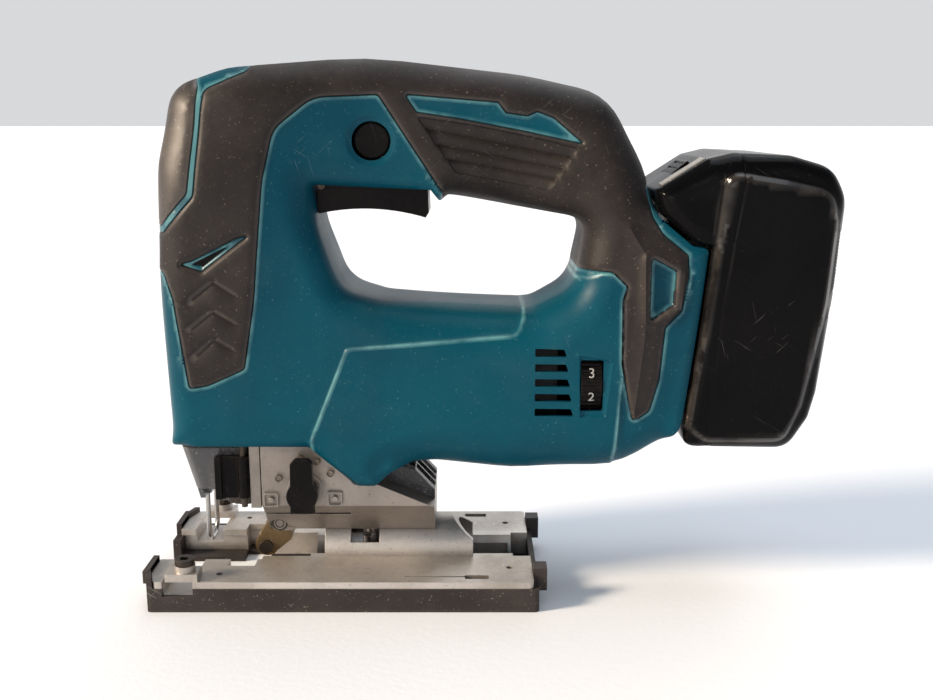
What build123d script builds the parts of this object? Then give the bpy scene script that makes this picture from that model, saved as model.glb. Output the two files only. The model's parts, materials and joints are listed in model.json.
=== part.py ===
"""Cordless jigsaw with a D-handle, an orbital action and a sliding battery pack.

Frame: +X to the rear (battery), -X to the blade, +Z up, -Y is the tool's left side.
The origin is on the sole, at the middle of the overall length and width. Millimetres.
"""
import math
import os

from build123d import *

os.makedirs("parts", exist_ok=True)

# ---- driving dimensions -------------------------------------------------------------------
# housing
HEAD_HALF = 28.5
HANDLE_HALF = 17.5
BARREL_HALF = 31.0
FOOT_HALF = 33.5
WALL = 2.6
GRIP_THICK = 1.4
EDGE_ROUND = 7.0
HEAD_FRONT = -124.4
HEAD_BOTTOM = 63.5

# drive train: motor along X, scotch yoke in front of a reduction gear
MOTOR_Z = 83.0
MODULE = 0.9
PINION_TEETH = 9
GEAR_TEETH = 45
TOOTH_SHIFT = 0.5
PINION_TIP_CUT = 0.2
TOOTH_THIN = 0.14
CENTRE_DISTANCE = 24.3
GEAR_Z = MOTOR_Z + CENTRE_DISTANCE
GEAR_BACK = -76.0
GEAR_FRONT = -84.0
STROKE = 26.0
CRANK_R = STROKE / 2
CRANK_PIN_R = 3.5
PLUNGER_X = -98.0
PLUNGER_R = 4.5
SHAFT_R = 3.0
AXLE_R = 4.0
FIT = 0.05

# gear housing
CASE_HALF = 24.0
CASE_TOP_HALF = 25.2
CASE_SPLIT = -87.0
CASE_WALL = 2.8

# base
BASE_FRONT = -133.0
BASE_REAR = 22.8
BASE_HALF = 38.5
BASE_TOP = 12.4
COVER_TOP = 9.6
SOLE = 2.4
HUMP_Z = 13.7
HUMP_R = 12.3
HUMP_BORE = 10.0
HUMP_FRONT = -64.0
HUMP_REAR = -3.0
SLIDE_TRAVEL = 5.0
TILT_BOLT_X = -45.0
GUIDE_X = -118.2
GUIDE_WIDE = 12.0
GUIDE_LOW = 6.4
GUIDE_HIGH = 12.4
GUIDE_SCREW_X = -115.8
GUIDE_SCREW_Y = 34.0
ROLLER_X = -89.3
ROLLER_Z = 13.8
ROLLER_R = 5.0
RETAINER_X = -82.5
RETAINER_Z = 25.6

# controls
TRIGGER_X = -61.0
TRIGGER_Z = 163.5
LOCK_X = -41.3
LOCK_Z = 180.2
LOCK_R = 7.0
ORBIT_X = -69.3
ORBIT_Z = 45.6
DIAL_X = 41.6
DIAL_Y = -20.2
DIAL_Z = 89.6
DIAL_R = 12.6
OPENER_X = -93.6
OPENER_Y = -23.2

# battery, along a plane that leans back from the housing's foot
LEAN = 6.3
FACE_X = 83.8
FACE_Z = 132.0
PACK_HALF = 37.5
RAIL_HALF = 26.5
RAIL_DEEP = 15.0

lean_sin = math.sin(math.radians(LEAN))
lean_cos = math.cos(math.radians(LEAN))
pack_side = Plane(origin=(FACE_X, 0, FACE_Z), x_dir=(lean_cos, 0, -lean_sin), z_dir=(0, -1, 0))
pack_plan = Plane(origin=(FACE_X, 0, FACE_Z), x_dir=(lean_cos, 0, -lean_sin), z_dir=(lean_sin, 0, lean_cos))
pack_face = Plane(origin=(FACE_X, 0, FACE_Z), x_dir=(0, 1, 0), z_dir=(lean_cos, 0, -lean_sin))


def save(builder, name):
    """Label a finished piece and write it as its own STEP file."""
    builder.part.label = name
    export_step(builder.part, f"parts/{name}.step")


def block(x0, x1, y0, y1, z0, z1, mode=Mode.ADD):
    """A box between two corners, joined to the open part."""
    with Locations(((x0 + x1) / 2, (y0 + y1) / 2, (z0 + z1) / 2)):
        Box(abs(x1 - x0), abs(y1 - y0), abs(z1 - z0), mode=mode)


def rod_x(x0, x1, y, z, radius, mode=Mode.ADD):
    """A round bar along X."""
    with Locations(Location(((x0 + x1) / 2, y, z), (0, 90, 0))):
        Cylinder(radius, abs(x1 - x0), mode=mode)


def rod_y(y0, y1, x, z, radius, mode=Mode.ADD):
    """A round bar along Y."""
    with Locations(Location((x, (y0 + y1) / 2, z), (90, 0, 0))):
        Cylinder(radius, abs(y1 - y0), mode=mode)


def rod_z(z0, z1, x, y, radius, mode=Mode.ADD):
    """A round bar along Z."""
    with Locations((x, y, (z0 + z1) / 2)):
        Cylinder(radius, abs(z1 - z0), mode=mode)


def ring_x(x0, x1, z, outer, inner):
    """A plain ring along X on the centre plane."""
    rod_x(x0, x1, 0, z, outer)
    rod_x(x0, x1, 0, z, inner, mode=Mode.SUBTRACT)


# ---- side outlines of the body ------------------------------------------------------------
BODY_POINTS = [
    ((-121.3, HEAD_BOTTOM), 2),
    ((HEAD_FRONT - 0.6, 132), 60),
    ((-122.6, 172), 40),
    ((-117, 200), 14),
    ((-96, 207.2), 30),
    ((-44, 211.2), 150),
    ((16, 204.6), 120),
    ((48, 197.5), 24),
    ((61.5, 171), 40),
    ((65.6, 152.8), 6),
    ((78.5, 142.2), 3),
    ((84.2, 141.4), 2),
    ((83.0, 130), 10),
    ((76.0, 68), 14),
    ((52, 51.6), 40),
    ((12, 48.2), 60),
    ((-20, 53.4), 20),
    ((-34, 54), 8),
    ((-41, 47.6), 3),
    ((-48.5, 47.6), 3),
    ((-67, HEAD_BOTTOM), 3),
]
HANDLE_GAP = [
    ((-64, 163.8), 1),
    ((-62.6, 148), 30),
    ((-54, 124), 16),
    ((-38, 119.6), 20),
    ((20, 116.8), 12),
    ((35.5, 125), 14),
    ((40.5, 151), 8),
    ((12, 155.4), 40),
    ((-13, 159.8), 2),
    ((-16, 157.2), 1),
    ((-19.3, 161.8), 1),
]
HEAD_ZONE = [(-140, 40), (-55, 40), (-55, 128), (-60, 150), (-72, 178), (-84, 192), (-140, 196)]
BARREL_ZONE = [(-80, 30), (120, 30), (120, 112), (26, 118), (-80, 124)]
FOOT_ZONE = [(34, 30), (120, 30), (120, 160), (60, 158), (44, 134), (34, 122)]


def body_side(inset):
    """The body's side outline with the hand opening, moved in by a wall thickness."""
    with BuildSketch(Plane.XZ) as side:
        with BuildLine():
            FilletPolyline([p for p, r in BODY_POINTS], radius=[r for p, r in BODY_POINTS], close=True)
        make_face()
        if inset:
            offset(amount=-inset, kind=Kind.INTERSECTION)
        with BuildSketch(Plane.XZ, mode=Mode.PRIVATE) as gap:
            with BuildLine():
                FilletPolyline([p for p, r in HANDLE_GAP], radius=[r for p, r in HANDLE_GAP], close=True)
            make_face()
            if inset:
                offset(amount=inset)
        add(gap.sketch, mode=Mode.SUBTRACT)
    return side.sketch


def zone_side(points, inset):
    """The part of the side outline inside one zone."""
    with BuildSketch(Plane.XZ) as zone:
        with BuildLine():
            Polyline(*points, close=True)
        make_face()
        if inset:
            offset(amount=-inset, kind=Kind.INTERSECTION)
        add(body_side(inset), mode=Mode.INTERSECT)
    return zone.sketch


def body_half(inset):
    """The left half of the body, full or moved in by a wall thickness."""
    layers = [
        (body_side(inset), HANDLE_HALF),
        (zone_side(HEAD_ZONE, inset), HEAD_HALF),
        (zone_side(BARREL_ZONE, inset), BARREL_HALF),
        (zone_side(FOOT_ZONE, inset), FOOT_HALF),
    ]
    radius = EDGE_ROUND - inset
    with BuildPart() as half:
        for side, half_width in layers:
            flat = half_width - EDGE_ROUND
            extrude(side, amount=flat)
            for low_turn, high_turn in ((0, 50), (50, 90)):
                low = radius * math.sin(math.radians(low_turn))
                high = radius * math.sin(math.radians(high_turn))
                shrink = radius * (1 - math.cos(math.radians((low_turn + high_turn) / 2)))
                with BuildSketch(Plane.XZ.offset(flat + low)):
                    add(side)
                    offset(amount=-shrink)
                extrude(amount=high - low)
    return half.part


outer_half = body_half(0)
under_grip_half = body_half(GRIP_THICK)
cavity_half = body_half(WALL)

# ---- motor --------------------------------------------------------------------------------
STATOR_X = (-44.0, -16.0)
STATOR_R = 24.0
CORE_R = 14.6
SHAFT_X = (-84.4, -3.0)
FRONT_BEARING_X = (-66.0, -60.0)
REAR_BEARING_X = (-9.0, -4.0)
FRONT_BEARING_R = 9.5
REAR_BEARING_R = 8.0

with BuildPart() as motor_stator:
    ring_x(*STATOR_X, MOTOR_Z, STATOR_R, STATOR_R - 3.5)
    for turn in range(0, 360, 60):
        with BuildSketch(Plane.YZ.offset(STATOR_X[0])) as tooth:
            with Locations(Location((0, MOTOR_Z, 0), (0, 0, turn))):
                with Locations((19, 0)):
                    Rectangle(7, 4)
                with Locations((15.9, 0)):
                    Rectangle(1.6, 9)
        extrude(amount=STATOR_X[1] - STATOR_X[0])
save(motor_stator, "motor_stator")

with BuildPart() as stator_coils:
    for turn in range(0, 360, 60):
        with BuildSketch(Plane.YZ.offset(STATOR_X[0] - 2)) as coil:
            with Locations(Location((0, MOTOR_Z, 0), (0, 0, turn))):
                with Locations((18.5, 0)):
                    Rectangle(3.0, 8)
                    Rectangle(3.0, 4.1, mode=Mode.SUBTRACT)
        extrude(amount=STATOR_X[1] - STATOR_X[0] + 4)
        for end in (STATOR_X[0] - 2, STATOR_X[1] + 0.5):
            with BuildSketch(Plane.YZ.offset(end)) as bridge:
                with Locations(Location((0, MOTOR_Z, 0), (0, 0, turn))):
                    with Locations((18.5, 0)):
                        Rectangle(3.0, 8)
            extrude(amount=1.5)
save(stator_coils, "stator_coils")

with BuildPart() as rotor_shaft:
    rod_x(*SHAFT_X, 0, MOTOR_Z, SHAFT_R)
    chamfer(rotor_shaft.edges().filter_by(GeomType.CIRCLE), 0.4)
save(rotor_shaft, "rotor_shaft")

with BuildPart() as rotor_core:
    ring_x(STATOR_X[0] + 1, STATOR_X[1] - 1, MOTOR_Z, CORE_R, SHAFT_R)
save(rotor_core, "rotor_core")

with BuildPart() as fan:
    ring_x(-57, -55.5, MOTOR_Z, 21, SHAFT_R)
    ring_x(-55.5, -48, MOTOR_Z, 6, SHAFT_R)
    for turn in range(0, 360, 30):
        with BuildSketch(Plane.YZ.offset(-55.5)) as blade:
            with Locations(Location((0, MOTOR_Z, 0), (0, 0, turn))):
                with Locations(Location((13.4, 0, 0), (0, 0, 18))):
                    Rectangle(14.5, 1.2)
        extrude(amount=6.5)
save(fan, "fan")

with BuildPart() as motor_bearings:
    for span, bearing_r in ((FRONT_BEARING_X, FRONT_BEARING_R), (REAR_BEARING_X, REAR_BEARING_R)):
        ring_x(*span, MOTOR_Z, bearing_r, SHAFT_R)
        for end in (span[0], span[1] - 0.6):
            rod_x(end, end + 0.6, 0, MOTOR_Z, bearing_r - 1.8, mode=Mode.SUBTRACT)
            ring_x(end, end + 0.6, MOTOR_Z, SHAFT_R + 1.4, SHAFT_R)
save(motor_bearings, "motor_bearings")


# ---- gears --------------------------------------------------------------------------------
def gear_outline(teeth, shift, tip_cut, turn):
    """Outline points of an involute gear, with tooth 0 centred at the angle turn."""
    angle = math.radians(20)
    pitch_r = MODULE * teeth / 2
    base_r = pitch_r * math.cos(angle)
    tip_r = pitch_r + MODULE * (1 + shift) - tip_cut
    root_r = pitch_r - MODULE * (1.25 - shift)
    half_tooth = (math.pi / 2 + 2 * shift * math.tan(angle)) / teeth
    half_tooth -= TOOTH_THIN / (2 * pitch_r)
    involute = math.tan(angle) - angle
    points = []
    for tooth in range(teeth):
        centre = turn + 2 * math.pi * tooth / teeth
        flank = []
        start_r = max(base_r, root_r)
        for step in range(5):
            radius = start_r + (tip_r - start_r) * step / 4
            roll = math.acos(min(1, base_r / radius))
            flank.append((radius, half_tooth + involute - (math.tan(roll) - roll)))
        if root_r < base_r:
            flank.insert(0, (root_r, flank[0][1]))
        for radius, spread in flank:
            points.append((radius * math.cos(centre - spread), radius * math.sin(centre - spread)))
        for radius, spread in reversed(flank):
            points.append((radius * math.cos(centre + spread), radius * math.sin(centre + spread)))
    return points


with BuildPart() as pinion:
    with BuildSketch(Plane(origin=(GEAR_FRONT + 0.4, 0, MOTOR_Z), x_dir=(0, 1, 0), z_dir=(1, 0, 0))):
        with BuildLine():
            Polyline(*gear_outline(PINION_TEETH, TOOTH_SHIFT, PINION_TIP_CUT, math.pi / 2), close=True)
        make_face()
        Circle(SHAFT_R, mode=Mode.SUBTRACT)
    extrude(amount=GEAR_BACK - GEAR_FRONT)
save(pinion, "pinion")

gap_turn = -math.pi / 2 + math.pi / GEAR_TEETH
with BuildPart() as drive_gear:
    with BuildSketch(Plane(origin=(GEAR_FRONT, 0, GEAR_Z), x_dir=(0, 1, 0), z_dir=(1, 0, 0))):
        with BuildLine():
            Polyline(*gear_outline(GEAR_TEETH, -TOOTH_SHIFT, 0, gap_turn), close=True)
        make_face()
        Circle(AXLE_R + 2.2, mode=Mode.SUBTRACT)
    extrude(amount=GEAR_BACK - GEAR_FRONT)
    rod_x(GEAR_FRONT, GEAR_FRONT + 6, CRANK_R, GEAR_Z, CRANK_PIN_R, mode=Mode.SUBTRACT)
save(drive_gear, "drive_gear")


with BuildPart() as gear_bearing:
    ring_x(GEAR_FRONT, GEAR_BACK, GEAR_Z, AXLE_R + 2.2, AXLE_R + FIT)
save(gear_bearing, "gear_bearing")

AXLE_X = (GEAR_FRONT + 0.5, -61.0)
with BuildPart() as gear_axle:
    rod_x(*AXLE_X, 0, GEAR_Z, AXLE_R)
    chamfer(gear_axle.edges().filter_by(GeomType.CIRCLE), 0.4)
save(gear_axle, "gear_axle")

# ---- reciprocating drive ------------------------------------------------------------------
with BuildPart() as crank_pin:
    rod_x(GEAR_FRONT - 3.7, GEAR_FRONT + 6, CRANK_R, GEAR_Z, CRANK_PIN_R)
    chamfer(crank_pin.faces().sort_by(Axis.X)[0].edges(), 0.3)
save(crank_pin, "crank_pin")

ROD_Z = (37.0, 158.0)
YOKE_X = (-94.0, -88.1)
YOKE_HALF = 21.0
YOKE_TALL = 7.5
with BuildPart() as plunger:
    rod_z(*ROD_Z, PLUNGER_X, 0, PLUNGER_R)
    chamfer(plunger.edges().filter_by(GeomType.CIRCLE).sort_by(Axis.Z)[-1], 0.6)
    block(*YOKE_X, -YOKE_HALF, YOKE_HALF, GEAR_Z - YOKE_TALL, GEAR_Z + YOKE_TALL)
    block(PLUNGER_X, YOKE_X[0], -7, 7, GEAR_Z - YOKE_TALL, GEAR_Z + YOKE_TALL)
    with BuildSketch(Plane(origin=(YOKE_X[1], 0, GEAR_Z), x_dir=(0, 1, 0), z_dir=(-1, 0, 0))):
        SlotOverall(2 * (CRANK_R + CRANK_PIN_R + 0.3), 2 * CRANK_PIN_R + 0.2)
    extrude(amount=4, mode=Mode.SUBTRACT)
    block(PLUNGER_X - 4.6, PLUNGER_X + 4.6, -0.8, 0.8, ROD_Z[0], ROD_Z[0] + 13, mode=Mode.SUBTRACT)
save(plunger, "plunger")

BUSH_R = 8.0
BUSH_SPANS = ((66.0, 76.0), (140.5, 150.5))
with BuildPart() as plunger_bushes:
    for span in BUSH_SPANS:
        rod_z(*span, PLUNGER_X, 0, BUSH_R)
        rod_z(*span, PLUNGER_X, 0, PLUNGER_R + FIT, mode=Mode.SUBTRACT)
save(plunger_bushes, "plunger_bushes")

CLAMP_Z = (33.0, 50.0)
CLAMP_R = 7.6
with BuildPart() as blade_clamp:
    rod_z(*CLAMP_Z, PLUNGER_X, 0, CLAMP_R)
    rod_z(CLAMP_Z[1] - 3, CLAMP_Z[1] - 1, PLUNGER_X, 0, CLAMP_R + 0.8)
    rod_z(ROD_Z[0] - 0.3, CLAMP_Z[1], PLUNGER_X, 0, PLUNGER_R + FIT, mode=Mode.SUBTRACT)
    block(PLUNGER_X - 5, PLUNGER_X + 5, -1.2, 1.2, CLAMP_Z[0], ROD_Z[0], mode=Mode.SUBTRACT)
    for turn in range(0, 360, 20):
        angle = math.radians(turn)
        rod_z(CLAMP_Z[0], CLAMP_Z[1] - 4, PLUNGER_X + (CLAMP_R + 0.4) * math.cos(angle),
              (CLAMP_R + 0.4) * math.sin(angle), 0.7, mode=Mode.SUBTRACT)
save(blade_clamp, "blade_clamp")

WEIGHT_X = (-74.5, -70.5)
WEIGHT_TRAVEL = 7.0
with BuildPart() as counterweight:
    block(*WEIGHT_X, -15, 15, GEAR_Z - 12.5, GEAR_Z + 16)
    with BuildSketch(Plane(origin=(WEIGHT_X[0], 0, GEAR_Z), x_dir=(0, 0, 1), z_dir=(1, 0, 0))):
        SlotOverall(2 * (WEIGHT_TRAVEL + AXLE_R + 0.4), 2 * AXLE_R + 0.8)
    extrude(amount=WEIGHT_X[1] - WEIGHT_X[0], mode=Mode.SUBTRACT)
    fillet(counterweight.edges().filter_by(Axis.X).group_by(Axis.Z)[-1], 5)
save(counterweight, "counterweight")

# ---- gear housing -------------------------------------------------------------------------
CASE_BOX_X = (CASE_SPLIT, -66.0)
CASE_BOX_Z = (64.0, 142.0)
CASE_FRONT_Z = (64.0, 153.0)
CASE_BLOCK_X = (-86.5, -18.5)
CASE_SCREWS = [(side * 19.0, height) for side in (-1, 1) for height in (70.4, 135.8)]
SCREW_R = 2.0
LUG_HALF = 8.9
LUG_GAP = 6.2
BOLT_R = 3.0


def case_section(x, z_span, half, radius):
    """A rounded rectangle across the gear housing at one x."""
    middle = (z_span[0] + z_span[1]) / 2
    with BuildSketch(Plane(origin=(x, 0, middle), x_dir=(0, 1, 0), z_dir=(1, 0, 0))) as section:
        RectangleRounded(2 * half, z_span[1] - z_span[0], radius)
    return section.sketch


with BuildPart() as gear_housing:
    extrude(case_section(CASE_BOX_X[0], CASE_BOX_Z, CASE_TOP_HALF, 8), amount=CASE_BOX_X[1] - CASE_BOX_X[0])
    inner = (CASE_BOX_Z[0] + CASE_WALL, CASE_BOX_Z[1] - CASE_WALL)
    extrude(case_section(CASE_BOX_X[0], inner, CASE_TOP_HALF - CASE_WALL, 6), amount=18, mode=Mode.SUBTRACT)
    with BuildSketch(Plane.YZ.offset(CASE_BLOCK_X[0])):
        with BuildLine():
            low_corner = (CASE_HALF - 2, 36.5)
            Polyline((-CASE_HALF, 64.5), (-CASE_HALF, 38.5), (-low_corner[0], 36.5), (-8.7, 22.8),
                     (8.7, 22.8),
                     low_corner, (CASE_HALF, 38.5), (CASE_HALF, 64.5), close=True)
        make_face()
    extrude(amount=CASE_BLOCK_X[1] - CASE_BLOCK_X[0])
    with BuildSketch(Plane.XZ.offset(-40)):
        with BuildLine():
            Polyline((-58, 70), (-58, 57), (-50, 47.4), (-41, 47.4), (-18, 37.6), (0, 37.6), (0, 70),
                     close=True)
        make_face()
    extrude(amount=80, mode=Mode.SUBTRACT)
    block(-90, -52, -19.5, 19.5, 33, 61, mode=Mode.SUBTRACT)
    block(-90, -77.6, -LUG_GAP, LUG_GAP, 20, 34, mode=Mode.SUBTRACT)
    block(-77.6, -72, -30, -LUG_HALF, 20, 23.4, mode=Mode.SUBTRACT)
    rod_x(-72, 0, 0, HUMP_Z, HUMP_R + 0.2, mode=Mode.SUBTRACT)
    rod_x(-69.5, -58, 0, MOTOR_Z, 12.5)
    rod_x(-69.5, -58, 0, MOTOR_Z, 7, mode=Mode.SUBTRACT)
    rod_x(FRONT_BEARING_X[0], -58, 0, MOTOR_Z, FRONT_BEARING_R, mode=Mode.SUBTRACT)
    rod_x(-69, -61, 0, GEAR_Z, 8)
    for y, z in CASE_SCREWS:
        block(CASE_BOX_X[0], -69, y - 3.5, y + 3.5, z - 3.5, z + 3.5)
        rod_x(CASE_BOX_X[0], -75, y, z, SCREW_R, mode=Mode.SUBTRACT)
    rod_x(-70, -61, 0, GEAR_Z, AXLE_R, mode=Mode.SUBTRACT)
    rod_y(-CASE_HALF - 1, -CASE_HALF + 6, ORBIT_X, ORBIT_Z, 7)
    rod_y(-CASE_HALF - 1, -CASE_HALF + 6, ORBIT_X, ORBIT_Z, AXLE_R + FIT, mode=Mode.SUBTRACT)
    rod_y(-LUG_HALF, LUG_HALF, RETAINER_X, RETAINER_Z, 2.0, mode=Mode.SUBTRACT)
    rod_y(-16, -LUG_HALF, RETAINER_X, RETAINER_Z, 3.6, mode=Mode.SUBTRACT)
    rod_z(20, 36, TILT_BOLT_X, 0, BOLT_R, mode=Mode.SUBTRACT)
save(gear_housing, "gear_housing")

FRONT_X = (-110.0, CASE_SPLIT)
STRIP_X = (-91.0, CASE_SPLIT)
with BuildPart() as gear_housing_front:
    extrude(case_section(FRONT_X[0], CASE_FRONT_Z, CASE_TOP_HALF, 8), amount=FRONT_X[1] - FRONT_X[0])
    extrude(case_section(FRONT_X[0] + CASE_WALL, (76.6, 140.0), CASE_TOP_HALF - CASE_WALL, 5), amount=30,
            mode=Mode.SUBTRACT)
    for side in (-1, 1):
        block(*STRIP_X, side * 14, side * 23.6, 37.5, 68)
    for y, z in CASE_SCREWS:
        block(*FRONT_X, y - 3.5, y + 3.5, z - 3.5, z + 3.5)
        rod_x(*FRONT_X, y, z, SCREW_R, mode=Mode.SUBTRACT)
    rod_z(60, 160, PLUNGER_X, 0, PLUNGER_R + 1.2, mode=Mode.SUBTRACT)
    for span in BUSH_SPANS:
        rod_z(*span, PLUNGER_X, 0, BUSH_R, mode=Mode.SUBTRACT)
save(gear_housing_front, "gear_housing_front")

with BuildPart() as gear_housing_screws:
    for y, z in CASE_SCREWS:
        rod_x(FRONT_X[0], -76, y, z, SCREW_R)
        rod_x(FRONT_X[0] - 2.6, FRONT_X[0], y, z, 3.4)
        with BuildSketch(Plane(origin=(FRONT_X[0] - 2.6, y, z), z_dir=(1, 0, 0))):
            RegularPolygon(1.6, 6)
        extrude(amount=1.6, mode=Mode.SUBTRACT)
save(gear_housing_screws, "gear_housing_screws")

with BuildPart() as retainer_pin:
    rod_y(-LUG_HALF, LUG_HALF, RETAINER_X, RETAINER_Z, 2.0)
    rod_y(-LUG_HALF - 1, -LUG_HALF, RETAINER_X, RETAINER_Z, 3.2)
save(retainer_pin, "retainer_pin")

# ---- orbital action -----------------------------------------------------------------------
LEVER_Y = (-33.5, -30.3)
LEVER_DROP = 6.9
LEVER_HUB_R = 5.2
with BuildPart() as orbit_lever:
    with BuildSketch(Plane.XZ.offset(-LEVER_Y[1])):
        with Locations((ORBIT_X, ORBIT_Z)):
            Circle(6.0)
        with BuildLine():
            Polyline((ORBIT_X - 4.6, ORBIT_Z - LEVER_DROP), (ORBIT_X - 4.2, ORBIT_Z + 13.2),
                     (ORBIT_X - 2.6, ORBIT_Z + 14.8),
                     (ORBIT_X + 2.6, ORBIT_Z + 14.8), (ORBIT_X + 4.2, ORBIT_Z + 13.2),
                     (ORBIT_X + 4.6, ORBIT_Z - LEVER_DROP), close=True)
        make_face()
    extrude(amount=LEVER_Y[1] - LEVER_Y[0])
    rod_y(LEVER_Y[1], -CASE_HALF - 1.2, ORBIT_X, ORBIT_Z, LEVER_HUB_R)
    rod_y(-32, -20, ORBIT_X, ORBIT_Z, AXLE_R - 1, mode=Mode.SUBTRACT)
save(orbit_lever, "orbit_lever")

with BuildPart() as orbit_shaft:
    rod_y(-32, -CASE_HALF - 1.2, ORBIT_X, ORBIT_Z, AXLE_R - 1)
    rod_y(-CASE_HALF - 1.2, -12, ORBIT_X, ORBIT_Z, AXLE_R)
    rod_y(-17.5, 8, ORBIT_X, ORBIT_Z, 5.5)
    block(ORBIT_X - 6, ORBIT_X - 3.6, -12, 6, ORBIT_Z - 6, ORBIT_Z + 6, mode=Mode.SUBTRACT)
save(orbit_shaft, "orbit_shaft")

with BuildPart() as roller_yoke:
    with BuildSketch(Plane.XZ):
        with BuildLine():
            FilletPolyline((-93.4, 12), (-93.0, 17.6), (-89.6, 22.8), (-85.4, 29.6), (-79.6, 29.6),
                           (-78.6, 21.0),
                           (-78.6, 17.2), (-84.0, 12.6), (-90.0, 9.9), radius=1.2, close=True)
        make_face()
    extrude(amount=6.0, both=True)
    block(-96, -84.2, -4.0, 4.0, 5, 20.2, mode=Mode.SUBTRACT)
    rod_z(CLAMP_Z[0] - STROKE / 2 - 1.4, 40, PLUNGER_X, 0, CLAMP_R + 1.3, mode=Mode.SUBTRACT)
    rod_y(-4.0, 4.0, ROLLER_X, ROLLER_Z, ROLLER_R + 0.4, mode=Mode.SUBTRACT)
    rod_y(-6.2, 6.2, ROLLER_X, ROLLER_Z, 1.8, mode=Mode.SUBTRACT)
    rod_y(-6.2, 6.2, RETAINER_X, RETAINER_Z, 2.0 + FIT, mode=Mode.SUBTRACT)
save(roller_yoke, "roller_yoke")

with BuildPart() as roller_pin:
    rod_y(-6.0, 6.0, ROLLER_X, ROLLER_Z, 1.8)
    rod_y(-7.2, -6.0, ROLLER_X, ROLLER_Z, 2.9)
save(roller_pin, "roller_pin")

with BuildPart() as roller:
    rod_y(-3.6, 3.6, ROLLER_X, ROLLER_Z, ROLLER_R)
    with Locations(Location((ROLLER_X, 0, ROLLER_Z), (90, 0, 0))):
        Torus(ROLLER_R + 0.6, 1.3, mode=Mode.SUBTRACT)
    rod_y(-3.6, 3.6, ROLLER_X, ROLLER_Z, 1.8 + FIT, mode=Mode.SUBTRACT)
save(roller, "roller")

# ---- front guard and blade release --------------------------------------------------------
WIRE_X = -112.3
WIRE_HALF = 7.1
WIRE_Z = (16.4, 47.0)
with BuildPart() as wire_guard:
    with BuildLine() as wire_path:
        FilletPolyline((WIRE_X, -WIRE_HALF, WIRE_Z[1]), (WIRE_X, -WIRE_HALF, WIRE_Z[0]),
                       (WIRE_X, WIRE_HALF, WIRE_Z[0]), (WIRE_X, WIRE_HALF, WIRE_Z[1]), radius=5)
    with BuildSketch(Plane(origin=wire_path.line @ 0, z_dir=wire_path.line % 0)):
        Circle(1.0)
    sweep()
save(wire_guard, "wire_guard")

GUARD_TOP = ((-119.0, -91.4), 21.0, 61.6)
GUARD_LOW = ((-113.6, -95.4), 17.5, 38.0)


def guard_section(level, inset):
    """One level of the tapered dust guard: a rounded rectangle seen from above."""
    (x0, x1), half, z = level
    with BuildSketch(Plane.XY.offset(z)) as section:
        with Locations(((x0 + x1) / 2, 0)):
            RectangleRounded(x1 - x0 - 2 * inset, 2 * half - 2 * inset, 5 - inset)
    return section.sketch


with BuildPart() as dust_cover:
    loft([guard_section(GUARD_LOW, 0).face(), guard_section(GUARD_TOP, 0).face()])
    loft([guard_section(GUARD_LOW, 1.8).face(), guard_section(GUARD_TOP, 1.8).face()], mode=Mode.SUBTRACT)
    block(-99, -85, -14.5, 14.5, 30, 64, mode=Mode.SUBTRACT)
    for side in (-1, 1):
        block(-130, -80, side * 13.5, side * 30, 30, 43.4, mode=Mode.SUBTRACT)
    for side in (-1, 1):
        block(WIRE_X - 2.2, WIRE_X + 2.2, side * (WIRE_HALF - 2.2), side * (WIRE_HALF + 2.2), 38.6, 47)
    add(wire_guard.part, mode=Mode.SUBTRACT)
save(dust_cover, "dust_cover")

with BuildPart() as tool_opener:
    rod_z(42, 59, OPENER_X, OPENER_Y, 2.4)
    block(-104.2, OPENER_X, OPENER_Y - 1.2, OPENER_Y + 1.2, 42, 59)
    block(-104.2, -101.8, OPENER_Y - 3.4, OPENER_Y - 1.2, 42, 59)
    rod_z(42, 59, OPENER_X, OPENER_Y, 1.2 + FIT, mode=Mode.SUBTRACT)
save(tool_opener, "tool_opener")

with BuildPart() as rear_baffle:
    with BuildSketch(Plane.XZ.offset(-14)):
        with BuildLine():
            Polyline((-48, 54.5), (-41.2, 47.6), (-18.4, 37.9), (-18.4, 41.5), (-26.4, 50.2), (-31.5, 51.6),
                     (-36.2, 49.4), (-36.6, 49.4), (-36.6, 57.5), (-46, 57.5), close=True)
        make_face()
    extrude(amount=28)
    for y in (-7.2, 0, 7.2):
        with BuildSketch(Plane.XZ.offset(-y - 2.8)):
            with BuildLine():
                Polyline((-38.5, 48.3), (-17, 39.2), (-17, 44), (-27.4, 52), (-36, 51.5), close=True)
            make_face()
            offset(amount=-0.9)
        extrude(amount=5.6, mode=Mode.SUBTRACT)
save(rear_baffle, "rear_baffle")

# ---- base ---------------------------------------------------------------------------------
SLOT_HALF = 16.0
WAIST_HALF = 22.5
YOKE_SLOT_HALF = 12.6
NOTCH_HALF = 12.5
SKIRT = 2.0
RIM_X = (-130.6, 20.6)
RIM_HALF = 38.2
HOLE_R = 1.3
HOLE_SPOTS = [(11.5, -24.0), (11.5, 24.0)]
FRONT_HOLE_SPOTS = [(-103.4, -30.2), (-103.4, 30.2)]


def base_outline(front, rear, half, slot, waist):
    """The base seen from above: two prongs, a waisted blade slot and a roller slot."""
    gaps = ((front - 1, -89.4, slot), (-102, -91, waist), (-92, -70, YOKE_SLOT_HALF))
    with BuildSketch(Plane.XY) as outline:
        with BuildLine():
            FilletPolyline((rear, -half), (rear, half), (front + 3, half), (front, half - 9),
                           (front, 9 - half),
                           (front + 3, -half), radius=2, close=True)
        make_face()
        for x0, x1, half_gap in gaps:
            with Locations(((x0 + x1) / 2, 0)):
                Rectangle(x1 - x0, 2 * half_gap, mode=Mode.SUBTRACT)
    return outline.sketch


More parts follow.
